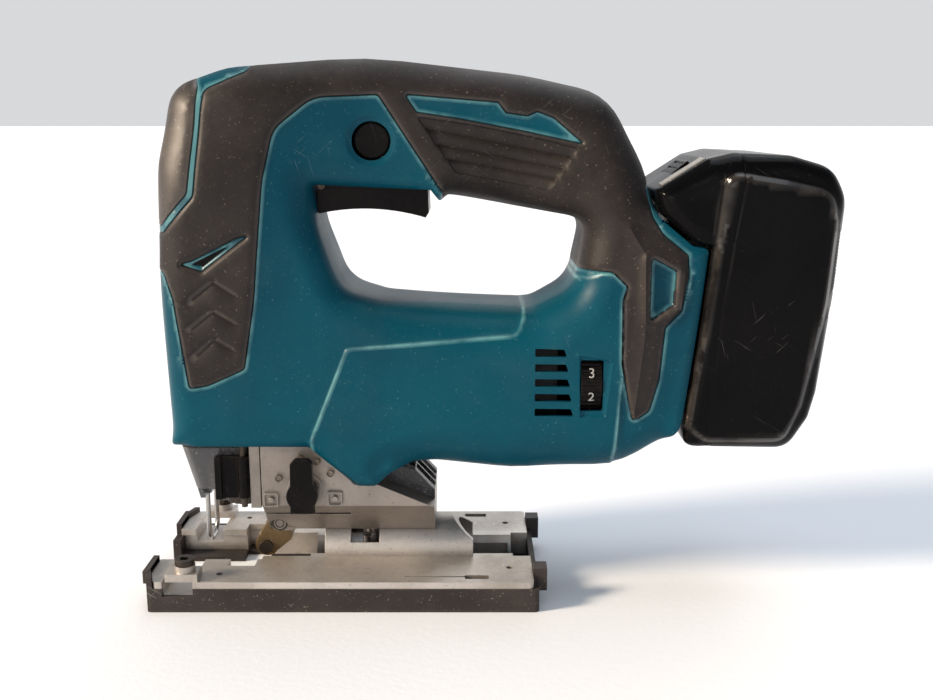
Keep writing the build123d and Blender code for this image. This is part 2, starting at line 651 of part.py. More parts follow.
with BuildPart() as base_plate:
    add(base_outline(RIM_X[0], RIM_X[1], RIM_HALF, SLOT_HALF, WAIST_HALF))
    extrude(amount=BASE_TOP)
    with BuildSketch(Plane.XY) as lower_cut:
        Rectangle(400, 200)
        add(base_outline(BASE_FRONT + SKIRT + 1.4, BASE_REAR - SKIRT - 0.4, BASE_HALF - SKIRT - 0.1,
                         SLOT_HALF + 1.4, WAIST_HALF + 0.8), mode=Mode.SUBTRACT)
    extrude(amount=COVER_TOP, mode=Mode.SUBTRACT)
    block(-140, 40, -60, 60, -1, SOLE + 0.1, mode=Mode.SUBTRACT)
    rod_x(HUMP_FRONT, HUMP_REAR, 0, HUMP_Z, HUMP_R)
    block(-140, 40, -60, 60, -5, SOLE + 0.1, mode=Mode.SUBTRACT)
    for side in (-1, 1):
        block(-122.8, -110.2, side * 29.8, side * RIM_HALF, 10, 15.6)
        rod_z(14, 18.2, GUIDE_SCREW_X, side * GUIDE_SCREW_Y, 4.0)
        rod_z(GUIDE_LOW, 20, GUIDE_SCREW_X, side * GUIDE_SCREW_Y, 2.1, mode=Mode.SUBTRACT)
        block(GUIDE_X - GUIDE_WIDE / 2, GUIDE_X + GUIDE_WIDE / 2, side * 10, side * 45, GUIDE_LOW, GUIDE_HIGH,
              mode=Mode.SUBTRACT)
        block(-30, -6.3, side * 32.3, side * 33.3, BASE_TOP - 0.8, 20, mode=Mode.SUBTRACT)
        block(-6.3, 3.1, side * 31.4, side * 35.0, 3, 20, mode=Mode.SUBTRACT)
    for x, y in HOLE_SPOTS + FRONT_HOLE_SPOTS:
        rod_z(0, 20, x, y, HOLE_R, mode=Mode.SUBTRACT)
    rod_x(HUMP_FRONT - 7, HUMP_REAR + 40, 0, HUMP_Z, HUMP_BORE, mode=Mode.SUBTRACT)
    block(HUMP_FRONT + 2, 12, -HUMP_BORE, HUMP_BORE, 0, 9, mode=Mode.SUBTRACT)
    block(13.4, 30, -NOTCH_HALF, NOTCH_HALF, -5, 20, mode=Mode.SUBTRACT)
    with BuildSketch(Plane.XZ.offset(-20)):
        with BuildLine():
            Polyline((-12, 30), (-12, 26.5), (-6, 21), (0, 16.4), (7, BASE_TOP + 0.01), (20, BASE_TOP + 0.01),
                     (20, 30), close=True)
        make_face()
    extrude(amount=40, mode=Mode.SUBTRACT)
    with BuildSketch(Plane(origin=(TILT_BOLT_X - 3.4 - SLIDE_TRAVEL, 0, HUMP_Z), x_dir=(0, 1, 0),
                           z_dir=(1, 0, 0))):
        with BuildLine():
            Polyline((0, 0), (22, 8), (22, 30), (-22, 30), (-22, 8), close=True)
        make_face()
    extrude(amount=6.8 + SLIDE_TRAVEL, mode=Mode.SUBTRACT)
    block(13.4, 18.4, -26, -NOTCH_HALF, 3, 8, mode=Mode.SUBTRACT)
save(base_plate, "base_plate")

with BuildPart() as base_cover:
    add(base_outline(BASE_FRONT, BASE_REAR, BASE_HALF, SLOT_HALF - 5.6, WAIST_HALF - 4.5))
    extrude(amount=COVER_TOP - 0.05)
    block(BASE_FRONT + SKIRT + 1.3, BASE_REAR - SKIRT - 0.3, -BASE_HALF + SKIRT, BASE_HALF - SKIRT, SOLE, 20,
          mode=Mode.SUBTRACT)
    for side in (-1, 1):
        block(BASE_FRONT, RIM_X[0] - 0.1, side * 17, side * 33, COVER_TOP - 0.1, 14.6)
        block(GUIDE_X - GUIDE_WIDE / 2, GUIDE_X + GUIDE_WIDE / 2, side * 30, side * 45, GUIDE_LOW, 20,
              mode=Mode.SUBTRACT)
        block(BASE_REAR - 0.1, BASE_REAR + 3.4, side * 23.5, side * 30.5, 5.5, 14.8)
        block(RIM_X[1] + 0.1, BASE_REAR, side * 23.5, side * 30.5, COVER_TOP - 0.1, 14.8)
    block(TILT_BOLT_X - 16, TILT_BOLT_X + 4, -4, 4, -1, SOLE + 1, mode=Mode.SUBTRACT)
save(base_cover, "base_cover")

with BuildPart() as guide_screws:
    for side in (-1, 1):
        rod_z(GUIDE_HIGH + 0.6, 18.2, GUIDE_SCREW_X, side * GUIDE_SCREW_Y, 2.1)
        rod_z(18.2, 20.6, GUIDE_SCREW_X, side * GUIDE_SCREW_Y, 3.8)
        with BuildSketch(Plane.XY.offset(19.0)):
            with Locations((GUIDE_SCREW_X, side * GUIDE_SCREW_Y)):
                RegularPolygon(2.0, 6)
        extrude(amount=4, mode=Mode.SUBTRACT)
save(guide_screws, "guide_screws")

PLATE_R = 9.9
PLATE_BORE = 7.2
with BuildPart() as clamp_plate:
    rod_x(TILT_BOLT_X - 14, TILT_BOLT_X + 14, 0, HUMP_Z, PLATE_R)
    rod_x(TILT_BOLT_X - 15, TILT_BOLT_X + 15, 0, HUMP_Z, PLATE_BORE, mode=Mode.SUBTRACT)
    block(TILT_BOLT_X - 15, TILT_BOLT_X + 15, -20, 20, 0, HUMP_Z - 3, mode=Mode.SUBTRACT)
    with BuildSketch(Plane(origin=(TILT_BOLT_X - 3.4, 0, HUMP_Z), x_dir=(0, 1, 0), z_dir=(1, 0, 0))):
        with BuildLine():
            Polyline((0, 0), (22, 6.4), (22, 30), (-22, 30), (-22, 6.4), close=True)
        make_face()
    extrude(amount=6.8, mode=Mode.SUBTRACT)
save(clamp_plate, "clamp_plate")

with BuildPart() as base_bolt:
    rod_z(HUMP_Z + 4, 36, TILT_BOLT_X, 0, BOLT_R)
    rod_z(HUMP_Z - 1.2, HUMP_Z + 4, TILT_BOLT_X, 0, 5.0)
    with BuildSketch(Plane.XY.offset(HUMP_Z - 1.2)):
        with Locations((TILT_BOLT_X, 0)):
            RegularPolygon(2.5, 6)
    extrude(amount=3, mode=Mode.SUBTRACT)
save(base_bolt, "base_bolt")

# ---- controls -----------------------------------------------------------------------------
TRIGGER_HALF = 11.0
with BuildPart() as trigger:
    with BuildSketch(Plane.XZ.offset(-TRIGGER_HALF)):
        with BuildLine():
            top_edge = Polyline((-21.4, 151.0), (-20.2, 153), (-20.6, 166), (-62.6, 167.4), (-63.2, 154.4),
                                (-62.4, 152.6))
            ThreePointArc((-62.4, 152.6), (-42, 154.4), (-21.4, 151.0))
        make_face()
    extrude(amount=2 * TRIGGER_HALF)
    fillet(trigger.edges().filter_by(Axis.Y).group_by(Axis.Z)[-1], 1)
    block(-60, -22, -TRIGGER_HALF + 2, TRIGGER_HALF - 2, 156.5, 170, mode=Mode.SUBTRACT)
    rod_y(-TRIGGER_HALF, TRIGGER_HALF, TRIGGER_X, TRIGGER_Z, 1.5 + FIT, mode=Mode.SUBTRACT)
save(trigger, "trigger")

with BuildPart() as pivot_pins:
    rod_y(-14, 14, TRIGGER_X, TRIGGER_Z, 1.5)
    rod_z(38, 63, OPENER_X, OPENER_Y, 1.2)
save(pivot_pins, "pivot_pins")

SPRING_X = -28.0
SPRING_Z = (157.0, 170.2)
with BuildPart() as trigger_spring:
    with BuildLine():
        Helix(pitch=2.6, height=SPRING_Z[1] - SPRING_Z[0] - 1, radius=3.0,
              center=(SPRING_X, 0, SPRING_Z[0] + 0.5))
    with BuildSketch(Plane(origin=(SPRING_X + 3.0, 0, SPRING_Z[0] + 0.5), z_dir=(0, 1, 0.14))):
        Circle(0.45)
    sweep(is_frenet=True)
save(trigger_spring, "trigger_spring")

LOCK_SPAN = (-16.0, 19.5)
with BuildPart() as lock_off_button:
    rod_y(LOCK_SPAN[0], LOCK_SPAN[1], LOCK_X, LOCK_Z, LOCK_R)
    fillet(lock_off_button.edges().filter_by(GeomType.CIRCLE), 1)
    rod_y(-3, 3, LOCK_X, LOCK_Z, LOCK_R + 1, mode=Mode.SUBTRACT)
    rod_y(-3, 3, LOCK_X, LOCK_Z, LOCK_R - 2)
save(lock_off_button, "lock_off_button")

with BuildPart() as switch_unit:
    block(-31, 2, -11.5, 11.5, 170.4, 196)
    fillet(switch_unit.edges().filter_by(Axis.Y), 1.5)
    for y in (-6, 0, 6):
        block(2, 6, y - 1.5, y + 1.5, 178, 190)
    block(-33, -31, -8, 8, 176, 190)
save(switch_unit, "switch_unit")

DIAL_HALF = 3.9
with BuildPart() as speed_dial:
    rod_x(DIAL_X - DIAL_HALF, DIAL_X + DIAL_HALF, DIAL_Y, DIAL_Z, DIAL_R)
    for turn in range(0, 360, 12):
        angle = math.radians(turn)
        rod_x(DIAL_X - DIAL_HALF, DIAL_X + DIAL_HALF, DIAL_Y + (DIAL_R + 0.25) * math.cos(angle),
              DIAL_Z + (DIAL_R + 0.25) * math.sin(angle), 0.6, mode=Mode.SUBTRACT)
    rod_x(DIAL_X - 5, DIAL_X + 5, DIAL_Y, DIAL_Z, 2.0 + FIT, mode=Mode.SUBTRACT)
save(speed_dial, "speed_dial")

with BuildPart() as dial_potentiometer:
    block(DIAL_X + 5.2, DIAL_X + 10, DIAL_Y - 6, DIAL_Y + 6, DIAL_Z - 6, DIAL_Z + 6)
    rod_x(DIAL_X - 3.4, DIAL_X + 6, DIAL_Y, DIAL_Z, 2.0)
    for z in (-4, 0, 4):
        block(DIAL_X + 10, DIAL_X + 12, DIAL_Y - 0.5, DIAL_Y + 0.5, DIAL_Z + z - 0.5, DIAL_Z + z + 0.5)
save(dial_potentiometer, "dial_potentiometer")

with BuildPart() as controller:
    block(6, 30, -17, 17, 63, 66)
    block(6, 30, -17, 17, 66, 104)
    block(7.5, 28.5, -15.5, 15.5, 68, 106, mode=Mode.SUBTRACT)
    block(9, 11, -14, 14, 68, 103)
    for y in (-9, 0, 9):
        rod_z(68, 88, 20, y, 4)
save(controller, "controller")

LAMP_X = -114.0
LAMP_Z = 63.4
with BuildPart() as led_light:
    rod_z(LAMP_Z, 68.5, LAMP_X, 0, 2.5)
    with Locations((LAMP_X, 0, LAMP_Z)):
        Sphere(2.5)
    block(LAMP_X - 2.4, LAMP_X + 2.4, -3.5, 3.5, 66.5, 68.5)
save(led_light, "led_light")

# ---- body shells --------------------------------------------------------------------------
BOSSES = [(-111.5, 172), (-84, 198), (-73, 150), (9, 195.5), (50, 172), (40, 58.5)]
BOSS_R = 4.0
HOUSING_SCREW_R = 1.75
TOP_GRIP = [(-140, 131.5), (-120.4, 131.5), (-116.6, 121.8), (-111.9, 87), (-104.6, 88.4), (-89.9, 95.3),
            (-85.6, 121.8), (-84.5, 144.1), (-80.8, 168.7), (-78.6, 179), (-73.1, 187.6), (-63.3, 194.7),
            (-55.5, 196.4), (-38, 197), (-15, 161.6), (-15, 150), (30, 150), (30, 133), (58, 133),
            (61, 170), (90, 230), (-140, 230)]
FOOT_GRIP = [(54, 128), (53.5, 88), (57.5, 76), (67, 81), (69.4, 113), (73.6, 116), (73.6, 132),
             (62, 140), (54, 148)]
FRONT_PAD = [(-140, 147), (-121, 147), (-108.4, 161), (-105, 190), (-104.6, 202), (-140, 202)]
POCKET_DOWN = -47.5
POCKET_GAP = 0.3


def side_prism(points, depth):
    """A prism of a side outline that reaches from the centre plane past the left side."""
    with BuildPart() as prism:
        with BuildSketch(Plane.XZ):
            with BuildLine():
                Polyline(*points, close=True)
            make_face()
        extrude(amount=depth)
    return prism.part


def pocket_space(grow):
    """The battery pocket, or its walls when grown, open at the top."""
    with BuildPart() as space:
        with BuildSketch(pack_side):
            with BuildLine():
                Polyline((-RAIL_DEEP - POCKET_GAP - grow, POCKET_DOWN - grow), (8, POCKET_DOWN - grow),
                         (8, 40), (-RAIL_DEEP - POCKET_GAP - grow, 40), close=True)
            make_face()
        extrude(amount=RAIL_HALF + POCKET_GAP + grow)
    return space.part


def pocket_rail():
    """The guide rail along the left edge of the pocket."""
    with BuildPart() as rail:
        with BuildSketch(pack_side.offset(RAIL_HALF - 3.2)):
            with BuildLine():
                Polyline((-9.2, POCKET_DOWN + 1), (-2.0, POCKET_DOWN + 1), (-2.0, 0), (-9.2, 0), close=True)
            make_face()
        extrude(amount=3.8)
    return rail.part


grip_skin = outer_half - under_grip_half
# the skin areas that the rubber fills, cut short of each other so that the pieces stay separate
grip_half = grip_skin & side_prism(TOP_GRIP, 60)
grip_half -= side_prism(FRONT_PAD, 60)
foot_grip_half = grip_skin & side_prism(FOOT_GRIP, 60)
foot_grip_half -= side_prism([(61.5, 136.5), (61, 117.5), (69.6, 121), (70.4, 133)], 60)
pad_outline = [(x, z + 1.4) if z < 150 else (x - 2.4, z) for x, z in FRONT_PAD]
pad_half = grip_skin & side_prism(pad_outline, 60)

motor_ribs = []
for rib_x in (-41.5, -22.0):
    motor_ribs.append((rib_x, rib_x + 3, STATOR_R, 36))
motor_ribs.append((REAR_BEARING_X[0], REAR_BEARING_X[1], REAR_BEARING_R, 36))

with BuildPart() as left_blank:
    add(outer_half)
    add(cavity_half, mode=Mode.SUBTRACT)
    add(pocket_space(WALL) & outer_half)
    add(pocket_space(0), mode=Mode.SUBTRACT)
    add(pocket_rail() & outer_half)
    for x0, x1, radius, reach in motor_ribs:
        with BuildSketch(Plane.YZ.offset(x0)):
            with Locations((-reach / 2, MOTOR_Z)):
                Rectangle(reach, 2 * reach)
            with Locations((0, MOTOR_Z)):
                Circle(radius, mode=Mode.SUBTRACT)
        extrude(amount=x1 - x0)
    add(outer_half, mode=Mode.INTERSECT)
    for x, z in BOSSES:
        rod_y(-30, 0, x, z, BOSS_R)
    add(outer_half, mode=Mode.INTERSECT)
    add(grip_half, mode=Mode.SUBTRACT)
    add(foot_grip_half, mode=Mode.SUBTRACT)
    add(pad_half, mode=Mode.SUBTRACT)
    # mouth for the gear housing and the blade drive
    block(-122.5, -91.5, -19, 0, 60, 67, mode=Mode.SUBTRACT)
    block(-110.5, -36.4, -CASE_HALF - 0.3, 0, 30, 66.5, mode=Mode.SUBTRACT)
    block(-91.6, -36.4, -CASE_HALF - 1.6, 0, 30, 58, mode=Mode.SUBTRACT)
    # trigger slot, lock-off hole, vents
    block(-64.2, -18.4, -TRIGGER_HALF - 0.5, 0, 150, 168.5, mode=Mode.SUBTRACT)
    rod_y(-30, 0, LOCK_X, LOCK_Z, LOCK_R + 0.2, mode=Mode.SUBTRACT)
    for row in range(5):
        block(20.5, 33.5 - row * 0.6, -40, -24, 77.8 + 5.75 * row, 80.6 + 5.75 * row, mode=Mode.SUBTRACT)
    rod_y(-14, 0, TRIGGER_X, TRIGGER_Z, 1.5, mode=Mode.SUBTRACT)

with BuildPart() as housing_left:
    add(left_blank.part)
    block(DIAL_X - 4.4, DIAL_X + 4.4, -40, -24, DIAL_Z - 10.1, DIAL_Z + 10.1, mode=Mode.SUBTRACT)
    for x, z in BOSSES:
        rod_y(-13, 0, x, z, HOUSING_SCREW_R, mode=Mode.SUBTRACT)
save(housing_left, "housing_left")

with BuildPart() as housing_right:
    add(mirror(left_blank.part, about=Plane.XZ))
    for x, z in BOSSES:
        rod_y(0, 40, x, z, HOUSING_SCREW_R, mode=Mode.SUBTRACT)
        rod_y(11, 40, x, z, 3.0, mode=Mode.SUBTRACT)
save(housing_right, "housing_right")

with BuildPart() as housing_screws:
    for x, z in BOSSES:
        rod_y(-12.5, 11, x, z, HOUSING_SCREW_R)
        rod_y(11, 13.4, x, z, 2.9)
        rod_y(12.2, 14, x, z, 1.3, mode=Mode.SUBTRACT)
save(housing_screws, "housing_screws")

with BuildPart() as grip_left:
    add(grip_half)
    add(foot_grip_half)
save(grip_left, "grip_left")

with BuildPart() as grip_right:
    add(mirror(grip_half, about=Plane.XZ))
    add(mirror(foot_grip_half, about=Plane.XZ))
save(grip_right, "grip_right")

with BuildPart() as front_pad:
    add(pad_half)
    add(mirror(pad_half, about=Plane.XZ))
save(front_pad, "front_pad")

# ---- battery interface and pack -----------------------------------------------------------
PACK_POINTS = [
    ((76.5, 65.2), 3),
    ((117.0, 64.8), 9),
    ((124.4, 77), 5),
    ((126.8, 87), 5),
    ((131.0, 128), 60),
    ((133.2, 160), 12),
    ((127.5, 171), 12),
    ((112, 175.6), 10),
    ((89.0, 175.2), 6),
]
HOOD_POINTS = [
    ((92, 175.0), 1),
    ((82.5, 174.4), 3),
    ((66.8, 161.8), 3),
    ((66.8, 157.4), 2),
    ((84.2, 144.4), 2),
    ((92, 144.4), 1),
]
HOOD_HALF = 29.0
PACK_SPLIT = 9.0
SHELL = 2.2
PACK_ROUND = 5.0
BLADE_ROWS = (-16.0, -8.0, 8.0, 16.0)
BLADE_TOP = POCKET_DOWN + 18.5
RAIL_TOP = 12.0
CELL_R = 9.0
CELL_HALF = 32.5
CELL_ROWS = (16.3, 34.5)
CELL_STEPS = [-45.5 + 18.6 * step for step in range(5)]


def pack_solid(inset):
    """The pack's outer form, full or moved in by its shell."""
    radius = max(PACK_ROUND - inset, 1)
    with BuildPart() as solid:
        with BuildSketch(Plane.XZ.offset(-PACK_HALF + inset)):
            with BuildLine():
                FilletPolyline([p for p, r in PACK_POINTS], radius=[r for p, r in PACK_POINTS], close=True)
            make_face()
            if inset:
                offset(amount=-inset)
        extrude(amount=2 * (PACK_HALF - inset))
        fillet(solid.faces().sort_by(Axis.Y)[0].edges() + solid.faces().sort_by(Axis.Y)[-1].edges(), radius)
    return solid.part


def hood_solid(inset):
    """The nose above the rails that carries the charge gauge and the release button."""
    with BuildPart() as solid:
        with BuildSketch(Plane.XZ.offset(-HOOD_HALF + inset)):
            with BuildLine():
                FilletPolyline([p for p, r in HOOD_POINTS], radius=[r for p, r in HOOD_POINTS], close=True)
            make_face()
            if inset:
                offset(amount=-inset)
        extrude(amount=2 * (HOOD_HALF - inset))
    return solid.part


def pack_block(v0, v1, half, u0, u1):
    """A box in the pack's leaning frame: v towards the rear, u up the slide."""
    with BuildPart() as solid:
        with BuildSketch(pack_plan.offset(u0)):
            with Locations(((v0 + v1) / 2, 0)):
                Rectangle(v1 - v0, 2 * half)
        extrude(amount=u1 - u0)
    return solid.part


SCREW_SPOTS = [(y, u) for y in (-31, 31) for u in (-56, 34)]
pack_outer = pack_solid(0)
pack_inner = pack_solid(SHELL)
slant_normal = (-0.634, 0, 0.773)
slant = Plane(origin=(75.6, 0, 168.86), x_dir=(0, 1, 0), z_dir=slant_normal)
LATCH_HALF = 10.0
GAUGE_Y = -19.0

with BuildPart() as battery_case_lower:
    add(pack_outer)
    add(pack_inner, mode=Mode.SUBTRACT)
    add(pack_block(-40, PACK_SPLIT, 60, -100, 80), mode=Mode.SUBTRACT)
save(battery_case_lower, "battery_case_lower")

with BuildPart() as battery_case_upper:
    add(pack_outer)
    add(hood_solid(0))
    add(hood_solid(SHELL) - pack_block(-1, 30, 60, -100, 80), mode=Mode.SUBTRACT)
    add(pack_block(-RAIL_DEEP, 1.6, RAIL_HALF, POCKET_DOWN + 2, RAIL_TOP))
    add(pack_inner, mode=Mode.SUBTRACT)
    add(pack_block(-RAIL_DEEP + SHELL, -SHELL, RAIL_HALF - 6, POCKET_DOWN + 22, RAIL_TOP - 2),
        mode=Mode.SUBTRACT)
    add(pack_block(PACK_SPLIT, 90, 60, -100, 80), mode=Mode.SUBTRACT)
    for side in (-1, 1):
        with BuildSketch(pack_side.offset(side * (RAIL_HALF - 1.6))):
            with BuildLine():
                Polyline((-9.8, POCKET_DOWN - 9), (-1.4, POCKET_DOWN - 9), (-1.4, 2), (-9.8, 2), close=True)
            make_face()
        extrude(amount=2.2, both=True, mode=Mode.SUBTRACT)
    for y in BLADE_ROWS:
        add(pack_block(-11, -3, 1.2, POCKET_DOWN, BLADE_TOP + 1).moved(Location((0, y, 0))),
            mode=Mode.SUBTRACT)
    with BuildSketch(slant.offset(5)):
        Rectangle(2 * LATCH_HALF + 0.6, 10.6)
    extrude(amount=-12, mode=Mode.SUBTRACT)
    with BuildSketch(slant.offset(-0.8)):
        with Locations((GAUGE_Y, 0)):
            Rectangle(14.2, 8.2)
    extrude(amount=8, mode=Mode.SUBTRACT)
    with BuildSketch(pack_face.offset(-2)):
        with Locations(*SCREW_SPOTS):
            Circle(2.7)
    extrude(amount=3.8, mode=Mode.SUBTRACT)
save(battery_case_upper, "battery_case_upper")

with BuildPart() as battery_latch:
    with BuildSketch(slant.offset(-6)):
        Rectangle(2 * LATCH_HALF, 10)
    extrude(amount=7)
    fillet(battery_latch.faces().sort_by(Axis.Z)[-1].edges(), 1)
    for rib in (-3, 0, 3):
        with BuildSketch(slant.offset(0.6)):
            with Locations((0, rib)):
                Rectangle(2 * LATCH_HALF - 3, 0.9)
        extrude(amount=1, mode=Mode.SUBTRACT)
save(battery_latch, "battery_latch")

with BuildPart() as gauge_panel:
    with BuildSketch(slant.offset(-0.8)):
        with Locations((GAUGE_Y, 0)):
            Rectangle(14, 8)
    extrude(amount=0.8)
    with BuildSketch(slant):
        with Locations((GAUGE_Y + 1.5, 2), (GAUGE_Y + 1.5, 0), (GAUGE_Y + 1.5, -2)):
            Rectangle(5, 0.9)
    extrude(amount=-0.3, mode=Mode.SUBTRACT)
save(gauge_panel, "gauge_panel")

with BuildPart() as battery_cells:
    for v in CELL_ROWS:
        for u in CELL_STEPS:
            centre = pack_plan.from_local_coords((v, 0, u))
            rod_y(-CELL_HALF, CELL_HALF, centre.X, centre.Z, CELL_R)
save(battery_cells, "battery_cells")

with BuildPart() as cell_holder:
    add(pack_block(CELL_ROWS[0] - 9.5, CELL_ROWS[1] + 8.0, 24, CELL_STEPS[0] - 9.4, CELL_STEPS[-1] + 9.4))
    add(pack_block(-20, 80, 16, -100, 80), mode=Mode.SUBTRACT)
    add(pack_inner, mode=Mode.INTERSECT)
    for v in CELL_ROWS:
        for u in CELL_STEPS:
            centre = pack_plan.from_local_coords((v, 0, u))
            rod_y(-CELL_HALF, CELL_HALF, centre.X, centre.Z, CELL_R + FIT, mode=Mode.SUBTRACT)
save(cell_holder, "cell_holder")

with BuildPart() as cell_straps:
    for side in (-1, 1):
        for step in range(4):
            u = (CELL_STEPS[step] + CELL_STEPS[step + 1]) / 2
            for v in CELL_ROWS if (step + (side > 0)) % 2 else ():
                strap = pack_block(v - 3, v + 3, 0.15, u - 13, u + 13)
                add(strap.moved(Location((0, side * (CELL_HALF + 0.15), 0))))
save(cell_straps, "cell_straps")

with BuildPart() as battery_board:
    add(pack_block(2.8, 4.4, 26, -45, 10))
    for y in (-14, -2, 10):
        add(pack_block(4.4, 6.6, 3, -30, -22).moved(Location((0, y, 0))))
    add(pack_block(4.4, 7.0, 6, -10, 4))
save(battery_board, "battery_board")

with BuildPart() as battery_terminals:
    for y in BLADE_ROWS:
        for side in (-1, 1):
            clip = pack_block(-10, -4, 0.2, POCKET_DOWN + 6, BLADE_TOP - 1)
            add(clip.moved(Location((0, y + side * 0.95, 0))))
save(battery_terminals, "battery_terminals")

with BuildPart() as battery_screws:
    for y, u in SCREW_SPOTS:
        with BuildSketch(pack_face.offset(0.2)):
            with Locations((y, u)):
                Circle(2.6)
        extrude(amount=1.6)
save(battery_screws, "battery_screws")

with BuildPart() as terminal_block:
    add(pack_block(-RAIL_DEEP - 0.1, -1.5, 21, POCKET_DOWN, POCKET_DOWN + 1.8))
    add(pack_block(-RAIL_DEEP - 0.1, -13.6, 21, POCKET_DOWN, POCKET_DOWN + 1.8))
save(terminal_block, "terminal_block")

with BuildPart() as terminal_blades:
    for y in BLADE_ROWS:
        add(pack_block(-9.5, -4.5, 0.5, POCKET_DOWN + 1.8, BLADE_TOP - 2).moved(Location((0, y, 0))))
save(terminal_blades, "terminal_blades")
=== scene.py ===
"""Looks of the cordless jigsaw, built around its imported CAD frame.

The frame has +X to the rear, -Y to the tool's left side and +Z up. Outlines here are in millimetres.
"""
import json
import math

import bmesh
import bpy
import numpy as np
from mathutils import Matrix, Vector
from mathutils.geometry import delaunay_2d_cdt
from mathutils.kdtree import KDTree


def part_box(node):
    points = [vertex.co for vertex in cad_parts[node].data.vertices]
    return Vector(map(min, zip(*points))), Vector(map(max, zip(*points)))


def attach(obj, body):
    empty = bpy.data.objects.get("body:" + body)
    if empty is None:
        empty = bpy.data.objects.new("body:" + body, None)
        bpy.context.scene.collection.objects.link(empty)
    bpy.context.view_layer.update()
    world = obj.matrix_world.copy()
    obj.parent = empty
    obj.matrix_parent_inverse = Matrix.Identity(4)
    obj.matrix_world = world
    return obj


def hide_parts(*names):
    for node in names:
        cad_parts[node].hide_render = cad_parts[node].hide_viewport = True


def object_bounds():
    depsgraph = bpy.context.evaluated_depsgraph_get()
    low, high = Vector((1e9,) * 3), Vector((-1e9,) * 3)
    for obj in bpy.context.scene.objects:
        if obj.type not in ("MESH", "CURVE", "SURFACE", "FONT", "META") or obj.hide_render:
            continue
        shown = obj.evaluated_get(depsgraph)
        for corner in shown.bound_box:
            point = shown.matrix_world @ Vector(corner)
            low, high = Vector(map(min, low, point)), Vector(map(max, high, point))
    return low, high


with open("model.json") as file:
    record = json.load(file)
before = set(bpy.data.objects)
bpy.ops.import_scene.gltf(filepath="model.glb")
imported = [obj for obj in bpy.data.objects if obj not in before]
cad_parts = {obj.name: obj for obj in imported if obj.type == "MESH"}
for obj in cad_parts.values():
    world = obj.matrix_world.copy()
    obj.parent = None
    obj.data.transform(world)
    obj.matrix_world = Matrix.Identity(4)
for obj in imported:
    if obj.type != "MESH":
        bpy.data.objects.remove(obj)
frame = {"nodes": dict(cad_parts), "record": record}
cad_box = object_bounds()
MM = 0.001

# ---- outlines of the moulded shells, each corner as (x, z, radius)
BODY = [(-121.3, 63.2, 2), (-123.6, 132, 60), (-122.6, 172, 40), (-117, 200, 14), (-96, 207.2, 30),
        (-44, 211.2, 150), (16, 204.6, 120), (48, 197.5, 24), (61.5, 171, 40), (65.6, 152.8, 6),
        (78.5, 142.2, 3), (84.2, 141.4, 2), (83, 130, 10), (76, 70, 14), (54, 54.6, 34), (12, 51.0, 60),
        (-18, 54.8, 24), (-34, 54.4, 8), (-41, 47.6, 3), (-48.5, 47.6, 3), (-67, 63.2, 3)]
HAND_GAP = [(-64, 163.8, 1), (-62.6, 148, 30), (-54, 124, 16), (-38, 119.6, 20), (20, 116.8, 12),
            (35.5, 125, 14), (40.5, 151, 8), (12, 155.4, 40), (-13, 159.8, 2), (-16, 157.2, 1),
            (-19.3, 161.8, 1)]
HEAD_GRIP = [(-140, 131.5, 0), (-120.4, 131.5, 3), (-116.6, 121.8, 8), (-111.9, 87, 1.5), (-104.6, 88.4, 4),
             (-90.2, 95, 3), (-85.6, 121.8, 60), (-81.6, 166, 40), (-77.2, 184.5, 12), (-62.5, 196, 14),
             (-38.4, 197, 2.5), (-14.8, 160.8, 1), (-14.8, 150, 0), (30, 150, 0), (31, 132.6, 0),
             (48.8, 132.5, 3), (54.2, 127.3, 1), (52.6, 122, 1), (52.8, 98, 10), (57.3, 75.3, 2),
             (63.6, 79.8, 3), (66.8, 92, 8), (68.4, 112, 2), (74.4, 118.4, 2), (76.8, 131, 6),
             (76.4, 138.9, 1), (67, 146.5, 6), (63.4, 152.6, 4), (61.6, 163, 2), (72, 176, 0),
             (40, 230, 0), (-140, 230, 0)]
GUARD_RIDGE = [(54.5, 149), (60.4, 139.5), (60.8, 109), (57.6, 77.5)]
GUARD_WINDOW = [(63, 138, 1), (72, 133.2, 1), (71.4, 120.6, 1), (62.6, 114.6, 1)]
FRONT_PAD = [(-140, 149.6, 0), (-120.9, 148.7, 2), (-109.2, 161, 5), (-105.9, 187.6, 20), (-105.2, 199.6, 1),
             (-112.5, 214, 0), (-140, 214, 0)]
PAD_STRIP = [(-140, 146.4, 0), (-119.9, 146.2, 2), (-106.9, 160, 5), (-103.9, 187.6, 20), (-102.6, 198.6, 4),
             (-87.3, 205.4, 2), (-84, 214, 0), (-140, 214, 0)]
HANDLE_STRIP = [(-28.7, 197.1, 1), (6.2, 194.2, 1), (9.1, 190.4, 1), (17, 189.3, 1), (20.6, 190.9, 1),
                (26.8, 188.6, 1), (38.4, 178.9, 0.6), (15.9, 183.7, 20), (-7.5, 188.1, 20), (-24.2, 190.6, 1)]
HANDLE_PANEL = [(-24.6, 189.2, 1), (-7.5, 186.8, 20), (15.9, 182.4, 20), (36.8, 177.4, 2), (25.4, 161.7, 2),
                (-9.8, 168.2, 1.5)]
HANDLE_RIBS = [((-20.1, 184.5), (34.5, 173.8)), ((-17.2, 178.9), (31.4, 169.6)),
               ((-13.6, 173.5), (28.5, 165.7))]
SIDE_VENT = [(-113.6, 134.9, 0.8), (-108.6, 136.2, 1), (-91.6, 144.6, 1), (-87, 145.8, 0.6),
             (-104.9, 132.2, 1)]
SIDE_VENT_HOLE = [(-108.4, 135.2, 0.3), (-94.4, 142, 0.3), (-104.4, 134, 0.3)]
